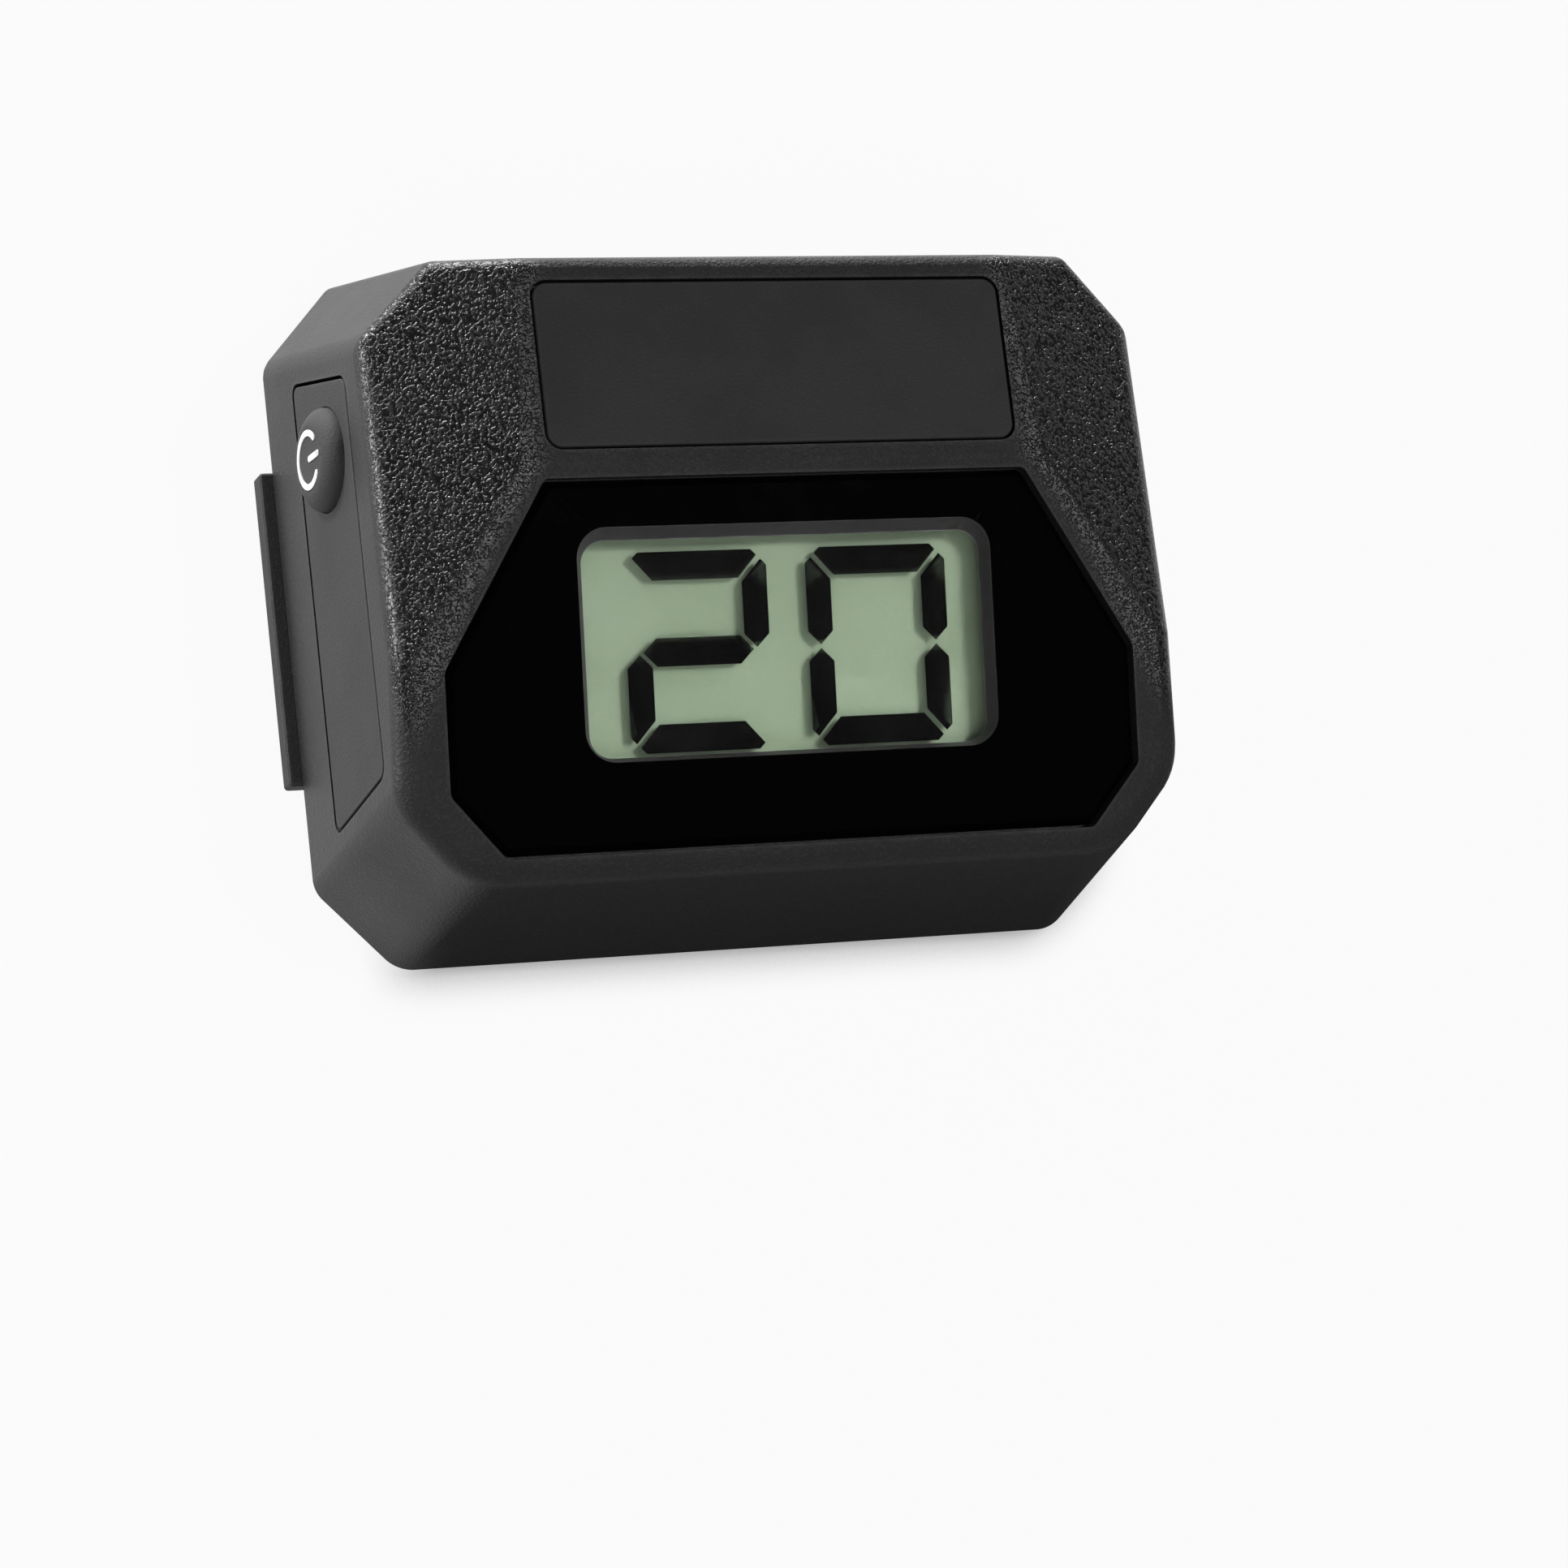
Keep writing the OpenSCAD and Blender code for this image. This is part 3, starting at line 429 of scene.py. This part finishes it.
def makeMark():
    shape, button = markShape, buttonShape
    reach, half, top = shape["radius"], shape["line"] / 2, shape["height"]
    bpy.ops.object.select_all(action="DESELECT")
    bpy.ops.mesh.primitive_plane_add(
        size=mm, location=(reach * mm, 0, top / 2 * mm), rotation=(math.pi / 2, 0, 0))
    mark = bpy.context.object
    mark.name = "powerMark"
    mark.scale = (2 * half, top, 1)
    bpy.ops.object.transform_apply(location=True, rotation=True, scale=True)
    turn = math.radians(360 - shape["opening"])
    bpy.ops.object.mode_set(mode="EDIT")
    bpy.ops.mesh.select_all(action="SELECT")
    bpy.ops.mesh.spin(steps=shape["steps"], angle=turn, center=(0, 0, 0), axis=(0, 0, 1))
    bpy.ops.mesh.select_all(action="SELECT")
    bpy.ops.mesh.normals_make_consistent(inside=False)
    bpy.ops.object.mode_set(mode="OBJECT")
    settle(mark, Matrix.Rotation(math.radians(-shape["opening"] / 2), 4, "Z"))
    for side in (-1, 1):
        end = side * math.radians(shape["opening"] / 2)
        spot = (reach * math.cos(end), reach * math.sin(end))
        carve(mark, addRod("ringEnd", half, 0, top, spot, shape["endSides"]), "UNION")
    bar = addBlock("bar", (shape["barFrom"], -half, 0), (shape["barTo"], half, top))
    for x in (shape["barFrom"], shape["barTo"]):
        carve(bar, addRod("barEnd", half, 0, top, (x, 0), shape["endSides"]), "UNION")
    carve(mark, bar, "UNION")
    settle(mark, flankFrame @ Matrix.Translation(Vector((button["along"], button["up"], button["height"])) * mm))
    smooth(mark)
    return mark


# room behind the window for the glass of the display
glassRoom = {"half": 11.6, "lowY": -15.92, "highY": -1.02, "foot": -2.7, "top": -1.1}


def makeCase():
    shape, window, button = caseShape, windowShape, buttonShape
    case = makeGem("caseShell", {})
    roundGem(case)
    hollow = {
        "crown": shape["wall"], "chin": shape["wall"], "upper": shape["wall"], "lower": shape["wall"],
        "soft": shape["wall"], "flank": shape["sideWall"], "top": shape["frontWall"], "brow": shape["frontWall"],
        "facet": shape["frontWall"], "back": shape["coverThick"] - shape["coverSeat"],
    }
    carve(case, makeGem("hollow", hollow))
    lip = shape["lip"]
    opening = addBlock(
        "opening", (lip - shape["width"] / 2, lip - shape["height"] / 2, 0),
        (shape["width"] / 2 - lip, shape["height"] / 2 - lip, shape["back"] + shape["coverThick"]))
    for kind, point, normal in casePlanes(shape):
        if kind in ("upper", "lower"):
            flat = Vector((normal.x, normal.y, 0)).normalized()
            shave(opening, point - flat * lip, flat)
    carve(case, opening)
    seat = windowPlate("seat", 0, -window["seatRise"], window["sink"] + window["thick"] + window["seatGap"])
    settle(seat, displayFrame)
    carve(case, seat)
    room = glassRoom
    glass = addBlock(
        "glass", (-room["half"], room["lowY"], room["foot"]), (room["half"], room["highY"], room["top"]))
    settle(glass, displayFrame)
    carve(case, glass)
    carve(case, inlayPlate("inlaySeat", 0, inlayShape["seatRise"]))
    panelSeat = panelPlate("panelSeat", 0, panelShape["seatRise"])
    settle(panelSeat, flankFrame)
    carve(case, panelSeat)
    spot = (button["along"], button["up"])
    bore = addRod("bore", button["flange"] + button["gap"], button["boreFoot"], 0, spot)
    settle(bore, flankFrame)
    carve(case, bore)
    smooth(case)
    return case


caseShell = makeCase()
print("stage: case", len(caseShell.data.polygons), "faces")
windowLens = makeWindow()
topInlay = makeInlay()
sidePanel = makePanel()
powerButton = makeButton()
powerMark = makeMark()
print("stage: window, inlay, side panel and button")

for piece, body, node in (
    (caseShell, "case", "housing"), (windowLens, "case", "window_lens"), (topInlay, "case", "top_inlay"),
    (sidePanel, "case", "side_panel"), (powerButton, "button", "power_button"),
    (powerMark, "button", "power_symbol"),
):
    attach(piece, body)
    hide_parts(node)


# shared effects, as node groups
def newGroup(name, inputs, outputs):
    group = bpy.data.node_groups.new(name, "ShaderNodeTree")
    for label, kind, value in inputs:
        socket = group.interface.new_socket(label, in_out="INPUT", socket_type=kind)
        if value is not None:
            socket.default_value = value
    for label, kind in outputs:
        group.interface.new_socket(label, in_out="OUTPUT", socket_type=kind)
    return group, group.nodes.new("NodeGroupInput"), group.nodes.new("NodeGroupOutput")


def addNode(tree, kind, **values):
    node = tree.nodes.new("ShaderNode" + kind)
    for label, value in values.items():
        setattr(node, label, value)
    return node


def mathNode(tree, operation, first, second=None, third=None):
    node = addNode(tree, "Math", operation=operation)
    for socket, value in zip(node.inputs, (first, second, third)):
        if isinstance(value, (int, float)):
            socket.default_value = value
        elif value is not None:
            tree.links.new(value, socket)
    return node.outputs[0]


def rampNode(tree, value, low, high, toLow=0.0, toHigh=1.0):
    node = addNode(tree, "MapRange", interpolation_type="SMOOTHSTEP")
    tree.links.new(value, node.inputs["Value"])
    for label, number in (("From Min", low), ("From Max", high), ("To Min", toLow), ("To Max", toHigh)):
        node.inputs[label].default_value = number
    return node.outputs["Result"]


def noiseNode(tree, vector, scale, detail=2.0, roughness=0.5):
    node = addNode(tree, "TexNoise")
    tree.links.new(vector, node.inputs["Vector"])
    if isinstance(scale, (int, float)):
        node.inputs["Scale"].default_value = scale
    else:
        tree.links.new(scale, node.inputs["Scale"])
    node.inputs["Detail"].default_value = detail
    node.inputs["Roughness"].default_value = roughness
    return node.outputs["Fac"]


# spark-eroded mould grain: crowded pips with a finer grain between them
grainLook = {
    "perMetre": 4200.0, "pips": (1.0, 0.4), "fine": (1.0, 0.5), "finer": 2.6,
    "raised": (0.46, 0.64), "speck": (0.54, 0.66), "fineShare": 0.15, "raisedShare": 0.9,
}


def makeGrain():
    look = grainLook
    group, start, end = newGroup(
        "sparkGrain",
        [("Vector", "NodeSocketVector", None), ("Per Metre", "NodeSocketFloat", look["perMetre"])],
        [("Height", "NodeSocketFloat"), ("Speck", "NodeSocketFloat")])
    vector, scale = start.outputs["Vector"], start.outputs["Per Metre"]
    pips = noiseNode(group, vector, scale, *look["pips"])
    fine = noiseNode(group, vector, mathNode(group, "MULTIPLY", scale, look["finer"]), *look["fine"])
    raised = mathNode(group, "MULTIPLY", rampNode(group, pips, *look["raised"]), look["raisedShare"])
    height = mathNode(group, "MULTIPLY_ADD", fine, look["fineShare"], raised)
    group.links.new(height, end.inputs["Height"])
    group.links.new(rampNode(group, pips, *look["speck"]), end.inputs["Speck"])
    return group


# handling: broad faint smears that change the gloss
handlingLook = {"perMetre": 160.0, "least": 0.5, "most": 0.6, "noise": (4.0, 0.6), "smear": (0.35, 0.7)}


def makeHandling():
    look = handlingLook
    group, start, end = newGroup(
        "handling",
        [("Vector", "NodeSocketVector", None), ("Per Metre", "NodeSocketFloat", look["perMetre"]),
         ("Least", "NodeSocketFloat", look["least"]), ("Most", "NodeSocketFloat", look["most"])],
        [("Roughness", "NodeSocketFloat"), ("Smear", "NodeSocketFloat")])
    broad = noiseNode(group, start.outputs["Vector"], start.outputs["Per Metre"], *look["noise"])
    smear = rampNode(group, broad, *look["smear"])
    spread = mathNode(group, "SUBTRACT", start.outputs["Most"], start.outputs["Least"])
    rough = mathNode(group, "MULTIPLY_ADD", smear, spread, start.outputs["Least"])
    group.links.new(rough, end.inputs["Roughness"])
    group.links.new(smear, end.inputs["Smear"])
    return group


# rub: edges made paler; on most finishes this is polish by use, on the display bezel it is a painted highlight along
# the rims of the opening
rubLook = {
    "amount": 0.5, "reach": 0.35, "samples": 6, "bend": (0.995, 0.93),
    "noise": (900.0, 3.0, 0.6), "broken": (0.35, 0.65, 0.35, 1.0),
}


def makeRub():
    look = rubLook
    group, start, end = newGroup(
        "edgeRubAndSheen",
        [("Vector", "NodeSocketVector", None), ("Amount", "NodeSocketFloat", look["amount"]),
         ("Reach", "NodeSocketFloat", look["reach"] * mm)],
        [("Rub", "NodeSocketFloat")])
    soft = addNode(group, "Bevel", samples=look["samples"])
    group.links.new(start.outputs["Reach"], soft.inputs["Radius"])
    shape = addNode(group, "NewGeometry")
    dot = addNode(group, "VectorMath", operation="DOT_PRODUCT")
    group.links.new(soft.outputs["Normal"], dot.inputs[0])
    group.links.new(shape.outputs["Normal"], dot.inputs[1])
    bend = rampNode(group, dot.outputs["Value"], *look["bend"])
    broken = rampNode(group, noiseNode(group, start.outputs["Vector"], *look["noise"]), *look["broken"])
    rubAndSheen = mathNode(group, "MULTIPLY", bend, broken)
    group.links.new(mathNode(group, "MULTIPLY", rubAndSheen, start.outputs["Amount"]), end.inputs["Rub"])
    return group


grainGroup, handlingGroup, rubGroup = makeGrain(), makeHandling(), makeRub()


def shade(sixHex):
    values = [int(sixHex[i:i + 2], 16) / 255 for i in (1, 3, 5)]
    return [v / 12.92 if v <= 0.04045 else ((v + 0.055) / 1.055) ** 2.4 for v in values] + [1.0]


def useGroup(tree, group, vector, **values):
    node = tree.nodes.new("ShaderNodeGroup")
    node.node_tree = group
    tree.links.new(vector, node.inputs["Vector"])
    for label, value in values.items():
        node.inputs[label.replace("_", " ")].default_value = value
    return node


def blendColour(tree, factor, first, second):
    node = addNode(tree, "Mix", data_type="RGBA")
    tree.links.new(factor, node.inputs["Factor"])
    for socket, value in ((node.inputs[6], first), (node.inputs[7], second)):
        if isinstance(value, list):
            socket.default_value = value
        else:
            tree.links.new(value, socket)
    return node.outputs[2]


def startFinish(name):
    finish = bpy.data.materials.new(name)
    finish.use_nodes = True
    tree = finish.node_tree
    return finish, tree, tree.nodes["Principled BSDF"], addNode(tree, "TexCoord")


def bump(tree, shader, height, distance):
    node = addNode(tree, "Bump")
    node.inputs["Strength"].default_value = 1.0
    node.inputs["Distance"].default_value = distance * mm
    tree.links.new(height, node.inputs["Height"])
    tree.links.new(node.outputs["Normal"], shader.inputs["Normal"])


# one moulded or metal finish: two tones, grain, smears and paler edges, rubbed by use, except on the display bezel
# where the pale edge is a painted highlight
plainLook = {
    "perMetre": 5200.0, "rubAndSheen": 0.5, "reach": 0.35, "metal": 0.0, "specular": 0.4, "bump": 0.006,
}


def makeFinish(name, dark, pale, edgeWearAndSheen, look):
    look = {**plainLook, **look}
    finish, tree, shader, where = startFinish(name)
    vector = where.outputs["Object"]
    grain = useGroup(tree, grainGroup, vector, Per_Metre=look["perMetre"])
    handling = useGroup(tree, handlingGroup, vector, Least=look["least"], Most=look["most"])
    rubAndSheen = useGroup(tree, rubGroup, vector, Amount=look["rubAndSheen"], Reach=look["reach"] * mm)
    tone = blendColour(tree, grain.outputs["Speck"], shade(dark), shade(pale))
    tree.links.new(blendColour(tree, rubAndSheen.outputs["Rub"], tone, shade(edgeWearAndSheen)), shader.inputs["Base Color"])
    tree.links.new(handling.outputs["Roughness"], shader.inputs["Roughness"])
    shader.inputs["Metallic"].default_value = look["metal"]
    shader.inputs["Specular IOR Level"].default_value = look["specular"]
    bump(tree, shader, grain.outputs["Height"], look["bump"])
    return finish


# case moulding: fine on the walls, coarse on the facets and the rims that face the user
caseLook = {
    # the facets' two tones: painted shade in the pits of the grain, painted glint on its crests
    "dark": "#1d1d1d", "pale": "#262626", "paintedPitShade": "#090909", "paintedCrestGlint": "#282828", "edgeWearAndSheen": "#3c3c3c",
    "least": 0.4, "most": 0.48, "dull": 0.3, "polish": 0.4,
    "coarsePerMetre": 6000.0, "finePerMetre": 6500.0, "coarse": 0.08, "fine": 0.12, "specular": 0.4,
    "rubAndSheen": 0.6, "facetFrom": 0.55, "facetTo": 0.12, "facetRelief": 0.46, "frontRelief": 0.25, "front": (0.35, 0.8),
}


def makeCaseFinish():
    look = caseLook
    finish, tree, shader, where = startFinish("caseMoulding")
    vector = where.outputs["Object"]
    coarse = useGroup(tree, grainGroup, vector, Per_Metre=look["coarsePerMetre"])
    fine = useGroup(tree, grainGroup, vector, Per_Metre=look["finePerMetre"])
    handling = useGroup(tree, handlingGroup, vector, Least=look["least"], Most=look["most"])
    rubAndSheen = useGroup(tree, rubGroup, vector, Amount=look["rubAndSheen"])
    # where the surface lies on a side facet, left or right alike
    facet = [p for p in casePlanes(caseShape) if p[0] == "facet" and p[2].x > 0][0]
    fold = addNode(tree, "VectorMath", operation="ABSOLUTE")
    tree.links.new(vector, fold.inputs[0])
    dot = addNode(tree, "VectorMath", operation="DOT_PRODUCT")
    tree.links.new(fold.outputs[0], dot.inputs[0])
    dot.inputs[1].default_value = facet[2]
    level = facet[1].dot(facet[2]) * mm
    onFacet = rampNode(
        tree, dot.outputs["Value"], level - look["facetFrom"] * mm, level - look["facetTo"] * mm)
    parts = addNode(tree, "SeparateXYZ")
    tree.links.new(where.outputs["Normal"], parts.inputs[0])
    onFront = rampNode(tree, parts.outputs["Z"], *look["front"])
    share = mathNode(
        tree, "MULTIPLY_ADD", onFacet, look["facetRelief"],
        mathNode(tree, "MULTIPLY", onFront, look["frontRelief"]))
    height = mathNode(
        tree, "MULTIPLY_ADD", coarse.outputs["Height"], share,
        mathNode(tree, "MULTIPLY", fine.outputs["Height"], look["fine"]))
    tone = blendColour(tree, fine.outputs["Speck"], shade(look["dark"]), shade(look["pale"]))
    # on the facets the pips are real grain, but their pale crests are a painted glint and their dark pits painted
    # shade
    grainWithPaintedGlint = blendColour(tree, coarse.outputs["Speck"], shade(look["paintedPitShade"]), shade(look["paintedCrestGlint"]))
    tone = blendColour(tree, onFacet, tone, grainWithPaintedGlint)
    tree.links.new(blendColour(tree, rubAndSheen.outputs["Rub"], tone, shade(look["edgeWearAndSheen"])), shader.inputs["Base Color"])
    rough = mathNode(tree, "MULTIPLY_ADD", onFront, look["dull"], handling.outputs["Roughness"])
    rough = mathNode(tree, "MULTIPLY_ADD", onFacet, -look["polish"], rough)
    tree.links.new(rough, shader.inputs["Roughness"])
    shader.inputs["Specular IOR Level"].default_value = look["specular"]
    bump(tree, shader, height, look["coarse"])
    return finish


# clear pieces: light passes straight on to what lies below
clearLook = {"perMetre": 220.0, "least": 0.015, "most": 0.05}


def makeClear(name, tint, ior):
    look = clearLook
    finish, tree, shader, where = startFinish(name)
    handling = useGroup(
        tree, handlingGroup, where.outputs["Object"], Per_Metre=look["perMetre"],
        Least=look["least"], Most=look["most"])
    tree.links.new(handling.outputs["Roughness"], shader.inputs["Roughness"])
    shader.inputs["Base Color"].default_value = shade(tint)
    shader.inputs["Transmission Weight"].default_value = 1.0
    shader.inputs["IOR"].default_value = ior
    path = addNode(tree, "LightPath")
    through = addNode(tree, "BsdfTransparent")
    through.inputs["Color"].default_value = shade(tint)
    either = addNode(tree, "MixShader")
    tree.links.new(path.outputs["Is Shadow Ray"], either.inputs["Fac"])
    tree.links.new(shader.outputs["BSDF"], either.inputs[1])
    tree.links.new(through.outputs["BSDF"], either.inputs[2])
    tree.links.new(either.outputs["Shader"], tree.nodes["Material Output"].inputs["Surface"])
    return finish


caseMoulding = makeCaseFinish()
satin = {"least": 0.66, "most": 0.76, "bump": 0.008, "perMetre": 8000.0, "specular": 0.3}
# bezel look: the full pale edge tone in a narrow band, a painted highlight along the rims
bezelPaintedRim = {"least": 0.5, "most": 0.6, "bump": 0.002, "rubAndSheen": 1.0, "reach": 0.12}
inky = {"least": 0.5, "most": 0.6, "bump": 0.0005, "rubAndSheen": 0.0, "specular": 0.0}
metal = {"least": 0.22, "most": 0.38, "metal": 1.0, "bump": 0.002, "perMetre": 9000.0}
chalky = {"least": 0.5, "most": 0.7, "bump": 0.004}
inlayMoulding = makeFinish("inlayMoulding", "#282828", "#2c2c2c", "#383838", satin)
panelMoulding = makeFinish("panelMoulding", "#373737", "#3b3b3b", "#4c4c4c", satin)
buttonMoulding = makeFinish("buttonMoulding", "#3b3b3b", "#3f3f3f", "#4c4c4c", satin)
plateCoat = makeFinish("plateCoat", "#303030", "#363636", "#5a5a5a", satin)
symbolInk = makeFinish("symbolInk", "#e6e6e6", "#f2f2f2", "#dadada", chalky)
maskInk = makeFinish("maskInk", "#010101", "#020202", "#020202", inky)
# display bezel: the pale #707070 edge tone, laid on the rims of its opening, is a painted highlight
bezelMoulding = makeFinish("bezelMoulding", "#2a2a2a", "#2e2e2e", "#707070", bezelPaintedRim)
figureCrystal = makeFinish("figureCrystal", "#070707", "#090909", "#080808", inky)
reflectorFilm = makeFinish("reflectorFilm", "#87947e", "#8a9781", "#83907a", chalky)
lensClear = makeClear("lensClear", "#ffffff", 1.49)
displayGlass = makeClear("displayGlass", "#fbfdfb", 1.25)
steelBright = makeFinish("steelBright", "#a2a4a6", "#b4b6b8", "#d0d2d4", metal)
magnetNickel = makeFinish("magnetNickel", "#b4b2ac", "#c4c2bc", "#dcdad4", metal)
contactGold = makeFinish("contactGold", "#b08c34", "#c8a24a", "#dcbc6c", metal)
boardGreen = makeFinish("boardGreen", "#1c5a32", "#23663b", "#3c8454", {"least": 0.3, "most": 0.42})
holderWhite = makeFinish("holderWhite", "#dededa", "#e8e8e4", "#f0f0ec", chalky)
stripRubber = makeFinish("stripRubber", "#cf8490", "#d98f9a", "#e0a0aa", chalky)
resinBlack = makeFinish("resinBlack", "#0c0c0c", "#121212", "#202020", {"least": 0.25, "most": 0.4})
chipCeramic = makeFinish("chipCeramic", "#94714a", "#a07c52", "#c0b8a8", chalky)
plungerPale = makeFinish("plungerPale", "#cfcbbf", "#d8d4c8", "#e4e0d6", chalky)
innerBlack = makeFinish("innerBlack", "#181818", "#1e1e1e", "#303030", satin)

for piece, finish in (
    (caseShell, caseMoulding), (windowLens, lensClear), (topInlay, inlayMoulding),
    (sidePanel, panelMoulding), (powerButton, buttonMoulding), (powerMark, symbolInk),
):
    dress(piece, finish)
nodeFinishes = {
    "housing": caseMoulding, "top_inlay": inlayMoulding, "side_panel": panelMoulding,
    "power_button": buttonMoulding, "power_symbol": symbolInk, "window_lens": lensClear,
    "window_mask": maskInk, "display_bezel": bezelMoulding, "display_front_glass": displayGlass,
    "display_figures": figureCrystal, "display_rear_glass": displayGlass, "display_reflector": reflectorFilm,
    "display_holder": holderWhite, "connector_strips": stripRubber, "circuit_board": boardGreen,
    "board_screws": steelBright, "controller": resinBlack, "tilt_sensor": resinBlack,
    "chip_capacitors": chipCeramic, "crystal": steelBright, "switch_body": innerBlack,
    "switch_plunger": plungerPale, "coin_cell": steelBright, "cell_holder": innerBlack,
    "cell_clip": steelBright, "cell_contact": contactGold, "rear_cover": caseMoulding,
    "case_screws": steelBright, "magnets": magnetNickel, "base_plate": plateCoat,
}
for name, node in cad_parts.items():
    for materialSlot in node.material_slots:
        materialSlot.material = nodeFinishes[name]
print("stage: finishes,", len(bpy.data.materials), "materials")


# floor: pale, kept white for the eye and for reflections, with the shadow below the chin
floorLook = {
    "half": 3.0, "tone": 0.5, "roughness": 0.9, "samples": 12,
    "lift": 0.94, "reach": 3, "least": 0.33, "shut": 0.4, "open": 0.95,
    "shadowFrom": -8, "shadowTo": -15, "shadowLeft": -19, "shadowRight": -12,
    "dimNear": -19, "dimFar": -80, "dimFrom": -20, "dimTo": -14, "dim": 0.95,
}
bpy.ops.object.select_all(action="DESELECT")
bpy.ops.mesh.primitive_plane_add(size=2 * floorLook["half"], location=(0, 0, 0))
floor = bpy.context.object
floor.name = "floor"
floorFinish, floorTree, floorShader, floorPlace = startFinish("floorPaper")
floorShader.inputs["Base Color"].default_value = [floorLook["tone"]] * 3 + [1.0]
floorShader.inputs["Roughness"].default_value = floorLook["roughness"]
floorShader.inputs["Specular IOR Level"].default_value = 0.0
nearness = addNode(floorTree, "AmbientOcclusion", samples=floorLook["samples"])
nearness.inputs["Distance"].default_value = floorLook["reach"] * mm
openness = rampNode(
    floorTree, nearness.outputs["AO"], floorLook["shut"], floorLook["open"], floorLook["least"], 1.0)
floorParts = addNode(floorTree, "SeparateXYZ")
floorTree.links.new(floorPlace.outputs["Object"], floorParts.inputs[0])
before = rampNode(floorTree, floorParts.outputs["Y"], floorLook["shadowTo"] * mm, floorLook["shadowFrom"] * mm)
floorPath = addNode(floorTree, "LightPath")
seen = mathNode(floorTree, "MAXIMUM", floorPath.outputs["Is Camera Ray"], floorPath.outputs["Is Glossy Ray"])
seen = mathNode(floorTree, "MAXIMUM", seen, floorPath.outputs["Is Transmission Ray"])
floorGlow = addNode(floorTree, "Emission")
# the strip that the chin mirrors lies in its shade
strip = rampNode(floorTree, floorParts.outputs["Y"], floorLook["dimFar"] * mm, floorLook["dimNear"] * mm)
strip = mathNode(floorTree, "MULTIPLY", strip, mathNode(floorTree, "SUBTRACT", 1.0, before))
beside = rampNode(
    floorTree, floorParts.outputs["X"], floorLook["dimFrom"] * mm, floorLook["dimTo"] * mm, 0.0, floorLook["dim"])
mirrored = mathNode(floorTree, "SUBTRACT", 1.0, floorPath.outputs["Is Camera Ray"])
shaded = mathNode(floorTree, "MULTIPLY", mathNode(floorTree, "MULTIPLY", strip, beside), mirrored)
aside = rampNode(
    floorTree, floorParts.outputs["X"], floorLook["shadowLeft"] * mm, floorLook["shadowRight"] * mm, 1.0, 0.0)
glow = mathNode(floorTree, "MAXIMUM", openness, mathNode(floorTree, "MAXIMUM", before, aside))
glow = mathNode(floorTree, "MULTIPLY", glow, mathNode(floorTree, "SUBTRACT", 1.0, shaded))
floorTree.links.new(glow, floorGlow.inputs["Strength"])
floorMix = addNode(floorTree, "MixShader")
floorTree.links.new(mathNode(floorTree, "MULTIPLY", seen, floorLook["lift"]), floorMix.inputs["Fac"])
floorTree.links.new(floorShader.outputs["BSDF"], floorMix.inputs[1])
floorTree.links.new(floorGlow.outputs["Emission"], floorMix.inputs[2])
floorTree.links.new(floorMix.outputs["Shader"], floorTree.nodes["Material Output"].inputs["Surface"])
dress(floor, floorFinish)


# world: white to the eye; for the light it is pale round the horizon and dark overhead
worldLook = {"seen": 0.97, "horizon": 0.15, "zenith": 0.02, "fall": 0.3}
world = bpy.data.worlds.new("studio")
scene.world = world
world.use_nodes = True
worldTree = world.node_tree
worldPlace = addNode(worldTree, "TexCoord")
worldParts = addNode(worldTree, "SeparateXYZ")
worldTree.links.new(worldPlace.outputs["Generated"], worldParts.inputs[0])
worldTone = rampNode(
    worldTree, worldParts.outputs["Z"], 0.0, worldLook["fall"], worldLook["horizon"], worldLook["zenith"])
worldPath = addNode(worldTree, "LightPath")
worldGap = mathNode(worldTree, "SUBTRACT", worldLook["seen"], worldTone)
worldTone = mathNode(worldTree, "MULTIPLY_ADD", worldPath.outputs["Is Camera Ray"], worldGap, worldTone)
worldTree.links.new(worldTone, worldTree.nodes["Background"].inputs["Color"])


# lamps: low boxes behind and at the left, a high one and a soft fill, all out of the window's mirror
lamps = {
    "rakeBox": {"place": (0.0, 0.25, 0.005), "size": (0.2, 0.012), "watts": 1.3},
    "leftBox": {"place": (-0.285, 0.075, 0.02), "size": (0.06, 0.025), "watts": 0.44},
    "cornerBox": {"place": (-0.12, 0.13, 0.004), "size": (0.04, 0.006), "watts": 0.19},
    "highBox": {"place": (0.192, 0.03, 0.568), "size": (0.1, 0.1), "watts": 1.45},
    "fillBox": {"place": (-0.12, -0.27, 0.522), "size": (0.3, 0.3), "watts": 1.15},
}
lampAim = (0, 0, 0.01)
for name, look in lamps.items():
    data = bpy.data.lights.new(name, "AREA")
    data.shape = "RECTANGLE"
    data.size, data.size_y = look["size"]
    data.energy = look["watts"]
    lamp = bpy.data.objects.new(name, data)
    lamp.visible_camera = False
    scene.collection.objects.link(lamp)
    lamp.location = look["place"]
    lamp.rotation_euler = (Vector(lampAim) - lamp.location).to_track_quat("-Z", "Y").to_euler()
print("stage: floor, world and lamps")

bpy.context.view_layer.update()
